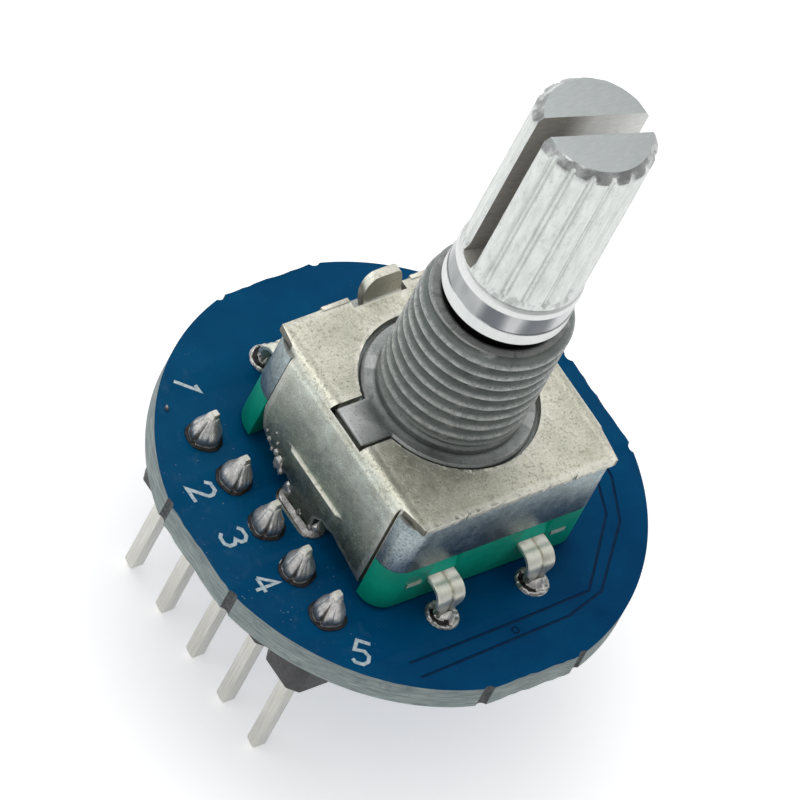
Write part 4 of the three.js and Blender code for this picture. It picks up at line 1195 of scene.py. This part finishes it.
def terminal_base():
    """New outside; the pocket and channels are taken from the CAD node."""
    base = body_block(BASE_BOTTOM, BASE_TOP, GREEN)
    for side in SIDES:
        cut(base, box((side * RECESS_X, side * 7), (side * RELIEF_Y, -side * RELIEF_Y_SHORT), THROUGH),
            box((side * CORNER_X, side * 7), (-side * CORNER_Y, -side * RELIEF_Y_SHORT), (0, CORNER_TOP)),
            material=GREEN)
    bevel(base, 0.13, 3, 40)
    levels = (HOLLOW_BOTTOM, BASE_TOP + 1)
    hollow = join(box((-4.6, 4.6), (-7, 7), levels), box((-5.3, 5.3), (-4.5, 4.5), levels))
    cut(hollow, copy_node("terminal_base"))
    cut(base, hollow, material=GREEN)
    ramps = []
    for letter in LETTERS:
        at = centre_mm("terminal_solder_" + letter)
        side = math.copysign(1, at.y)
        outline = [(side * (BODY_Y + 0.2), RAMP_BOTTOM), (side * (BODY_Y - 0.02), RAMP_BOTTOM),
                   (side * (BODY_Y - RAMP_DEPTH), BASE_TOP + 0.2), (side * (BODY_Y + 0.2), BASE_TOP + 0.2)]
        ramps.append(side_prism(outline, (at.x - RAMP_HALF, at.x + RAMP_HALF)))
    cut(base, merge(*ramps), material=GREEN_PAINTED_LIT)
    low = base_low.z
    foot = [(0, low), (FOOT_RADIUS - 0.05, low), (FOOT_RADIUS, low + 0.05), (FOOT_RADIUS, BASE_BOTTOM + 0.2),
            (0, BASE_BOTTOM + 0.2)]
    feet = [shift(lathe(foot, 24), sx * FOOT_X, sy * FOOT_Y) for sx in SIDES for sy in SIDES]
    finish(join(base, merge(*feet), material=GREEN), "terminal_base", GREEN)


def thread_radius(radius, height, angle):
    """Root cylinder of the bushing raised into a right-hand helix with rounded crests."""
    if radius != THREAD_ROOT or height <= PANEL:
        return radius
    phase = (height / THREAD_PITCH - angle / (2 * math.pi)) % 1
    ridge = (0.5 + 0.5 * math.cos(2 * math.pi * phase)) ** 0.85
    start = min(1, max(0, (height - THREAD_START + 0.3 * angle / (2 * math.pi)) / 0.7))
    worn = 1 + 0.05 * wave(3, angle, height, 1.5, 0.7)
    lift = (THREAD_CREST - THREAD_ROOT) * min(1, ridge * 1.06) * start * worn
    neck = (THREAD_CREST - THREAD_ROOT - 0.07) * (1 - smoothstep((height - PANEL - 0.3) / 0.35))
    chamfer = THREAD_ROOT + 0.1 + (BUSHING_TOP - height) * 1.1
    return min(THREAD_ROOT + max(lift, neck), chamfer, THREAD_CREST)


def threaded_housing():
    block = bevel(body_block(housing_low.z, BODY_TOP, ZINC), 0.16, 4, 40)
    profile = [(0, PANEL - 0.7), (BOSS, PANEL - 0.7), (BOSS, PANEL - 0.1), (BOSS - 0.1, PANEL),
               (THREAD_CREST + 0.16, PANEL), (THREAD_CREST + 0.08, PANEL + 0.035),
               (THREAD_CREST - 0.12, PANEL + 0.035), (THREAD_ROOT, PANEL)]
    steps = 112
    profile += [(THREAD_ROOT, PANEL + (BUSHING_TOP - PANEL) * k / steps) for k in range(1, steps + 1)]
    profile += [(0, BUSHING_TOP)]
    lobe = bevel(box(LOBE_X, (-LOBE_HALF, LOBE_HALF), (PANEL - 0.7, PANEL)), 0.1, 3)
    join(block, lobe, lathe(profile, 96, thread_radius), material=ZINC)
    cavity = lathe([(0, housing_low.z - 1), (CAVITY_RADIUS, housing_low.z - 1), (CAVITY_RADIUS, CAVITY_TOP),
                    (0, CAVITY_TOP)], 72)
    bore = lathe([(0, BOARD_TOP), (BORE, BOARD_TOP), (BORE, BUSHING_TOP - BORE_MOUTH),
                  (BORE + BORE_MOUTH + 0.2, BUSHING_TOP + 0.2), (0, BUSHING_TOP + 0.2)], 72)
    finish(cut(block, cavity, bore, material=ZINC), "threaded_housing", ZINC, 40)


# ---------------------------------------------------------------- sheet-metal frame

SHEET = 0.4
FLAP_Y = 4.5
FLAP_Y_SHORT = 4.12
SHEET_BEND = 0.55
SHEET_BACK = 5.75
JOG = 0.16
LEDGE_LEVELS = (2.58, 2.61, 2.64, 2.67, 2.7, 2.73)
# Lower edge of a flap with its leg, as (y on the +X side reversed, height over the board).
FLAP_EDGE = [(-7, 0.95), (-4.5, 0.95), (-1.5, 1.52), (-1.0, 1.05), (-1.0, -4), (1.0, -4), (1.0, 0.95), (1.39, 1.24),
             (1.65, 0.95), (1.92, 0.8), (2.3, 1.1), (3.1, 1.4), (3.7, 1.7), (3.98, 2.25), (4.12, 2.7), (7, 2.7),
             (7, -5), (-7, -5)]
TOP_HOLE = 4.22
LOBE_NOTCH = ((-5.74, -3), (-1.22, 1.22), (PANEL - 0.75, PANEL + 1))
TAB_RELIEF = ((-1.7, 1.24), (5.32, 7))
MARKS_X = (-3.05, 3.0)
LIPS_X = [(-3.2, -1.7), (1.7, 3.2)]
TAB_RISE = 1.0
TAB_LEAN = 68
TAB_X = (-1.2, 0.92)


def flap_jog(side, y, z):
    """How far the lower middle of a flap is pressed outwards."""
    y *= -side
    height = z - BOARD_TOP
    across = smoothstep((y + 2.15) / 0.22) * smoothstep((1.9 - y) / 0.22)
    return JOG * across * smoothstep((2.72 - height) / 0.12) * smoothstep((height - 0.4) / 1.6)


def section_points():
    """Outer line of the folded sheet from the -X leg's end over the top to the +X leg's end."""
    bend_z = PANEL - SHEET_BEND
    bend_x = FLAP_X - SHEET_BEND
    levels = [frame_low.z + (bend_z - frame_low.z) * k / 46 for k in range(46)]
    levels = sorted(levels + [BOARD_TOP + z for z in LEDGE_LEVELS])
    side = [(FLAP_X, z, 1.0, 0.0) for z in levels]
    for k in range(11):
        angle = math.radians(9 * k)
        side.append((bend_x + SHEET_BEND * math.cos(angle), bend_z + SHEET_BEND * math.sin(angle),
                     math.cos(angle), math.sin(angle)))
    plate = [(bend_x - 2 * bend_x * k / 120, PANEL, 0.0, 1.0) for k in range(1, 120)]
    return side + plate + [(-x, z, -nx, nz) for x, z, nx, nz in reversed(side)]


def coined_line(x, z):
    """Depth of the shallow line pressed along the plate beside each bend."""
    return 0.0 if z < PANEL - 0.01 else 0.012 * math.exp(-(((abs(x) - 5.1) / 0.13) ** 2))


def folded_sheet():
    section = section_points()
    rows, columns = 59, len(section)
    outer, inner = [], []
    for r in range(rows):
        y = FRAME_FRONT + (SHEET_BACK - FRAME_FRONT) * r / (rows - 1)
        for x, z, nx, nz in section:
            push = flap_jog(math.copysign(1, x), y, z) if abs(nx) == 1.0 else 0.0
            ripple = 0.012 * noise.noise(Vector((x * 0.5, y * 0.5, z * 0.5))) - coined_line(x, z)
            outer.append((x + nx * (push + ripple), y, z + nz * ripple))
            inner.append((x + nx * (push + ripple - SHEET), y, z + nz * (ripple - SHEET)))
    under = len(outer)
    faces = []
    for r in range(rows - 1):
        for c in range(columns - 1):
            a, b = r * columns + c, r * columns + c + 1
            d, e = a + columns, b + columns
            faces += [(a, b, e, d), (a + under, d + under, e + under, b + under)]
    rims = [(r * columns + c, (r + 1) * columns + c) for r in range(rows - 1) for c in (0, columns - 1)]
    rims += [(r * columns + c, r * columns + c + 1) for c in range(columns - 1) for r in (0, rows - 1)]
    faces += [(a, b, b + under, a + under) for a, b in rims]
    return paint(outward(mesh_object(outer + inner, faces)), SHEET_METAL)


def upright_tab():
    """Tab folded up from the plate's back edge, leaning back a little, with one well-rounded corner."""
    top = PANEL + TAB_RISE
    low, high = PANEL - SHEET + 0.006, PANEL - 0.006
    centre_y, centre_z = 5.2, PANEL + 0.25
    lean = math.radians(TAB_LEAN)
    length = TAB_RISE / math.sin(lean)
    reach = (length * math.cos(lean), length * math.sin(lean))
    outside = arc(centre_y, centre_z, centre_z - low, 270, 270 + TAB_LEAN, 10)
    inside = arc(centre_y, centre_z, centre_z - high, 270 + TAB_LEAN, 270, 8)
    tip = [(y + reach[0], z + reach[1]) for y, z in (outside[-1], inside[0])]
    strip = side_prism([(5.0, low)] + outside + tip + inside + [(5.0, high)], TAB_X)
    face = [(TAB_X[1], PANEL - 1), (TAB_X[1], top - 0.35)]
    face += arc(0.62, top - 0.3, 0.3, 0, 90, 5) + arc(-0.35, top - 0.85, 0.85, 90, 180, 12)
    face += [(TAB_X[0], PANEL - 1)]
    return common(strip, front_prism(face, (4.5, 7.5)))


def metal_frame():
    sheet = folded_sheet()
    levels = (PANEL - 1, PANEL + 1)
    cutters = []
    for sx in SIDES:
        for sy in SIDES:
            edge = FLAP_Y if sx == sy else FLAP_Y_SHORT
            plan = [(sx * 7, sy * edge), (sx * 5.64, sy * edge), (sx * 5.35, sy * 5.97), (sx * 5.3, sy * 7),
                    (sx * 7, sy * 7)]
            cutters.append(prism(plan, BOARD_TOP - 5, PANEL + 2))
    for side in SIDES:
        waste = [(y * -side, BOARD_TOP + z) for y, z in FLAP_EDGE]
        cutters.append(side_prism(waste, (4.9, 7) if side > 0 else (-7, -4.9)))
    cutters += [prism(circle(0, 0, TOP_HOLE, 120), *levels), box(*LOBE_NOTCH), box(*TAB_RELIEF, levels),
                merge(*[prism(circle(x, FRAME_FRONT - 0.03, 0.13, 14), *levels) for x in MARKS_X])]
    cut(sheet, *cutters, material=SHEET_METAL)
    join(sheet, upright_tab(), material=SHEET_METAL)
    for x in LIPS_X:
        lip = bevel(box(x, (5.62, 5.88), (PANEL - SHEET + 0.03, PANEL + 0.045)), 0.05)
        join(sheet, lip, material=SHEET_METAL)
    finish(bevel(sheet, 0.035, 2, 40), "metal_frame", SHEET_METAL, 45)


LEG_HOLE = ((-0.215, 0.215), (-1.02, 1.02), THROUGH)
# Rings of a leg's joint, over its lowest point and over its foot, as (half width, half length, height).
LUG_BELOW = [(0.4, 1.08, 0.0), (0.46, 1.2, 0.1)]
LUG_ABOVE = [(0.57, 1.42, 0.0), (0.55, 1.4, 0.07), (0.48, 1.33, 0.14), (0.43, 1.24, 0.25), (0.4, 1.15, 0.38),
             (0.38, 1.08, 0.5), (0.36, 1.04, 0.6)]
# Splashes on the joint, (outward, along, height over its foot, radius, seed), and then on the flap,
# (along, height over the board, radius).
LUG_DROPS = [(0.1, -1.0, 0.42, 0.3, 1), (0.16, 0.1, 0.2, 0.18, 2), (0.12, 0.95, 0.16, 0.2, 4)]
FLAP_DROPS = [(2.1, 1.15, 0.28), (1.8, 0.92, 0.17), (2.45, 1.45, 0.14), (2.75, 1.3, 0.08), (3.1, 1.6, 0.1),
              (3.4, 1.85, 0.06), (2.6, 1.9, 0.07), (2.9, 2.3, 0.05), (-1.25, 0.62, 0.16)]


def lug_solder(side_name):
    """Joint round a frame leg, filling its plated slot, with splashes up the flap."""
    node = "frame_solder_" + side_name
    low = box_mm(node)[0].z
    centre = centre_mm(node)
    side = math.copysign(1, centre.x)
    seed = 70 + side
    levels = [(x, y, low + z) for x, y, z in LUG_BELOW]
    levels += [(0.6, 1.42, JOINT_UNDER - 0.12), (0.68, 1.5, JOINT_UNDER), (0.505, 1.305, JOINT_UNDER + 0.001),
               (0.505, 1.305, JOINT_FOOT - 0.001)]
    levels += [(x, y, JOINT_FOOT + z) for x, y, z in LUG_ABOVE]
    rings = []
    for half_x, half_y, z in levels:
        inside = JOINT_UNDER < z < JOINT_FOOT
        ragged = not inside and z >= JOINT_FOOT + 0.05
        slide = 0 if z < JOINT_FOOT - 0.01 else -side * (0.1 + min(0.22, (z - JOINT_FOOT) * 1.2))
        ring = []
        for x, y in slot_outline(half_x, half_y, steps=16):
            angle = math.atan2(y, x)
            k = 1 if inside else 1 + 0.06 * wave(seed, angle, z, 1.6, 1.1) + 0.03 * wave(seed + 3, angle, z, 4, 3)
            k += 0.12 * wave(seed + 6, angle, z, 2.5, 1.5) if ragged else 0
            lift = 0.16 * wave(seed + 1, angle, 0, 1.8) if ragged else 0
            ring.append((centre.x + slide + x * k, y * k, z + lift))
        rings.append(ring)
    joint = paint(loft(rings), DARK_SOLDER)
    cut(joint, shift(box(*LEG_HOLE), centre.x), material=DARK_SOLDER)
    drops = [droplet((centre.x + side * out, side * along, JOINT_FOOT + z), radius, seed + number)
             for out, along, z, radius, number in LUG_DROPS]
    drops += [droplet((side * (FLAP_X + 0.02), -side * along, BOARD_TOP + z), radius, z)
              for along, z, radius in FLAP_DROPS]
    finish(merge(joint, *drops), node, SOLDER, 50)


# ---------------------------------------------------------------- shaft

SHAFT_RADIUS = 3.0
SPINDLE = 2.0
SPINDLE_FLAT = 1.5
RING_GROOVE = 1.45
RING_LEVELS = (BOARD_TOP + 4.75, BOARD_TOP + 5.15)
JOURNAL = 2.4
CREST = 2.87
ROOT = 2.67
LEDGE = 2.72
TEETH = 18
SLOT_ANGLE = -17
SLOT_DEPTH = 9.8
SLOT_HALF = 0.5
END_RADIUS = 2.5
# Profiles over a level, as (radius, height).
COLLAR = [(SHAFT_RADIUS - 0.06, 0.0), (SHAFT_RADIUS - 0.005, 0.05), (SHAFT_RADIUS - 0.015, 0.7),
          (SHAFT_RADIUS - 0.06, 0.745)]
NECK = [(SHAFT_RADIUS - 0.06, -0.49), (SHAFT_RADIUS - 0.03, -0.45), (SHAFT_RADIUS - 0.04, -0.3),
        (SHAFT_RADIUS - 0.09, -0.15), (LEDGE + 0.02, -0.04), (LEDGE, -0.03), (LEDGE, 0.0)]
KNURL_STEPS = [0.05, 0.12, 0.2, 0.3, 0.4, 0.5, 0.65, *range(1, 9), 9.0, 9.3, 9.5, 9.6, 9.7, 9.8, 9.9, 9.96]


def tooth_height(angle):
    """1 on a serration's land, 0 in a groove's floor."""
    phase = (angle / (2 * math.pi) * TEETH) % 1
    return smoothstep((abs(phase - 0.64) - 0.03) / 0.19)


def shaft_radius(radius, height, angle):
    """Serrates the knurled length, with a run-out at its foot and a chamfer at its end."""
    if height < KNURL_BOTTOM - 0.02 or radius == 0 or height >= SHAFT_END - 0.001:
        return radius
    runout = smoothstep((height - KNURL_BOTTOM - 0.05) / 0.55)
    foot = LEDGE + (CREST - LEDGE) * smoothstep((height - KNURL_BOTTOM) / 0.12)
    land = foot - (CREST - ROOT) * (1 - tooth_height(angle)) * runout + 0.012 * wave(8, angle, height, 4, 0.6)
    chamfer = END_RADIUS + (SHAFT_END - height) * 0.75 + 0.05 * wave(2, angle, 0, 5.0)
    return min(land, chamfer, radius)


def shaft():
    low = shaft_low.z
    groove_low, groove_high = RING_LEVELS
    profile = [(0, low), (SPINDLE - 0.15, low), (SPINDLE, low + 0.15), (SPINDLE, groove_low),
               (RING_GROOVE, groove_low), (RING_GROOVE, groove_high), (JOURNAL, groove_high), (JOURNAL, COLLAR_BOTTOM)]
    profile += [(r, COLLAR_BOTTOM + h) for r, h in COLLAR] + [(r, KNURL_BOTTOM + h) for r, h in NECK]
    profile += [(SHAFT_RADIUS, KNURL_BOTTOM + k) for k in KNURL_STEPS]
    profile += [(END_RADIUS, SHAFT_END - 0.002), (END_RADIUS - 0.04, SHAFT_END), (0, SHAFT_END)]
    body = paint(lathe(profile, TEETH * 14, shaft_radius), ALUMINIUM)
    for side in SIDES:
        cut(body, box((-3, 3), (side * SPINDLE_FLAT, side * 3), (low - 1, groove_low)), material=ALUMINIUM)
    slot = box((-4, 4), (-SLOT_HALF, SLOT_HALF), (SHAFT_END - SLOT_DEPTH, SHAFT_END + 1))
    slot.data.transform(Matrix.Rotation(math.radians(SLOT_ANGLE), 4, "Z"))
    finish(cut(body, slot, material=SLOT_WALL), "shaft", ALUMINIUM, 28, SHAFT)


# ---------------------------------------------------------------- inside pieces

DOME_RADIUS = 2.0
DOME_THICKNESS = 0.1


def snap_dome():
    low, high = box_mm("snap_dome")
    height = high.z - low.z
    rise = height - DOME_THICKNESS
    under = [(DOME_RADIUS * k / 16, low.z + rise * (0.5 + 0.5 * math.cos(math.pi * k / 16))) for k in range(17)]
    over = [(r, z + DOME_THICKNESS) for r, z in reversed(under)]
    dome = finish(lathe(under + over, 72), "snap_dome", SPRING)
    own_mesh(dome)


def dress(node, material, width=0.03):
    """Gives a CAD node its finish and softened edges."""
    obj = frame["nodes"][node]
    obj.data.materials.clear()
    paint(obj, material)
    round_edges(obj, width * MM, 2, 40)


circuit_board()
header_insulator()
for pin_name in PINS:
    header_pin(pin_name)
for number in range(1, 6):
    header_solder(number)
for number in range(1, 4):
    resistor(number)
for terminal_letter in LETTERS:
    terminal(terminal_letter)
for terminal_letter in LETTERS:
    terminal_solder(terminal_letter)
terminal_base()
threaded_housing()
metal_frame()
lug_solder("left")
lug_solder("right")
shaft()
snap_dome()
dress("retaining_ring", SPRING)
dress("rotor", NATURAL)
dress("code_disc", BRASS, 0.02)
dress("detent_spring", SPRING, 0.02)
dress("switch_plunger", BLACK)


# ---------------------------------------------------------------- stage

VIEW_AZIMUTH = (-0.839, -0.5441)
VIEW_ELEVATION = math.radians(49.18)
VIEW_ROLL = math.radians(29.29)
IMAGE_WIDTH_MM = 34.993
IMAGE_OFFSET_MM = (-0.079, 3.278)
CAMERA_DISTANCE = 1.2
SENSOR = 36
FLOOR_HALF = 2
FLOOR_GLOW = 0.3
FLOOR_LIFT = 0.12
SKY_DIM = 0.34
SKY_BRIGHT = 0.9
SKY_SEEN = 0.95
SKY_TOWARDS = (0.5, 0.42, 0.76)


def camera():
    """Long lens, tipped so that the shaft leans to the right."""
    level_reach = math.cos(VIEW_ELEVATION)
    back = Vector((VIEW_AZIMUTH[0] * level_reach, VIEW_AZIMUTH[1] * level_reach, math.sin(VIEW_ELEVATION))).normalized()
    level = Vector((0, 0, 1)).cross(back).normalized()
    up = back.cross(level)
    x_axis = level * math.cos(VIEW_ROLL) + up * math.sin(VIEW_ROLL)
    y_axis = up * math.cos(VIEW_ROLL) - level * math.sin(VIEW_ROLL)
    centre = Vector((0, 0, BOARD_TOP)) + x_axis * IMAGE_OFFSET_MM[0] + y_axis * IMAGE_OFFSET_MM[1]
    data = bpy.data.cameras.new("camera")
    data.sensor_width = SENSOR
    data.lens = SENSOR * CAMERA_DISTANCE / (IMAGE_WIDTH_MM * MM)
    data.clip_end = 20
    obj = link(data, "camera")
    obj.matrix_world = Matrix.Translation(centre * MM + back * CAMERA_DISTANCE) @ Matrix(
        (x_axis, y_axis, back)).transposed().to_4x4()
    bpy.context.scene.camera = obj


def floor():
    """Pale floor that is only seen from above."""
    plane = mesh_object([(x * FLOOR_HALF, y * FLOOR_HALF, 0) for x, y in QUADRANTS], [(0, 1, 2, 3)], "floor")
    n = new_material("floor")
    seen = n.node("LightPath", {}, "Is Camera Ray")
    shader = n.tree.nodes["Principled BSDF"]
    n.surface(n.ramp(n.noise(0.02, 2), (0.3, 0.86), (0.7, 0.9)), 0.85, specular=0.1)
    n.feed(shader, {"Emission Color": 1.0, "Emission Strength": n.linear(seen, FLOOR_LIFT, FLOOR_GLOW, clamp=False)})
    mix = n.node("MixShader", {0: n.node("NewGeometry", {}, "Backfacing"), 1: shader.outputs[0],
                               2: n.node("BsdfTransparent", {})})
    n.feed(n.tree.nodes["Material Output"], {"Surface": mix})
    paint(plane, n.owner)


def softbox(name, direction, size, power):
    """Square area light aimed at the object."""
    data = bpy.data.lights.new(name, "AREA")
    data.shape = "SQUARE"
    data.size = size
    data.energy = power
    obj = link(data, name)
    aim = Vector(direction).normalized()
    obj.location = aim * 0.5 + Vector((0, 0, BOARD_TOP * MM))
    obj.rotation_euler = aim.to_track_quat("Z", "Y").to_euler()
    obj.visible_camera = False


def world():
    """Dim surround with one broad bright region behind and above the object, and a few soft patches."""
    bpy.context.scene.world = bpy.data.worlds.new("studio")
    n = Nodes(bpy.context.scene.world)
    direction = n.node("TexCoord", {}, "Generated")
    facing = n.node("VectorMath", {0: direction, 1: Vector(SKY_TOWARDS).normalized()}, "Value", operation="DOT_PRODUCT")
    lobe = n.node("MapRange", {"Value": facing, "From Min": 0.25, "From Max": 0.8, "To Min": SKY_DIM,
                               "To Max": SKY_BRIGHT}, interpolation_type="SMOOTHSTEP")
    patches = n.node("TexNoise", {"Vector": direction, "Scale": 2.3, "Detail": 1.0}, "Fac")
    uneven = n.node("MapRange", {"Value": patches, "From Min": 0.35, "From Max": 0.65, "To Min": 0.8, "To Max": 1.08})
    seen = n.node("LightPath", {}, "Is Camera Ray")
    strength = n.node("Mix", {0: seen, 2: n.mul(lobe, uneven), 3: SKY_SEEN}, data_type="FLOAT")
    n.feed(n.tree.nodes["Background"], {"Strength": strength, "Color": 1.0})


camera()
floor()
world()
softbox("key_box", (0.05, 0.45, 1.0), 0.35, 0.5)
softbox("fill_box", (-0.6, -0.2, 0.8), 0.2, 0.2)
softbox("edge_box", (-0.76, 0.33, 0.6), 0.28, 0.28)
bpy.context.scene.view_settings.view_transform = "Standard"
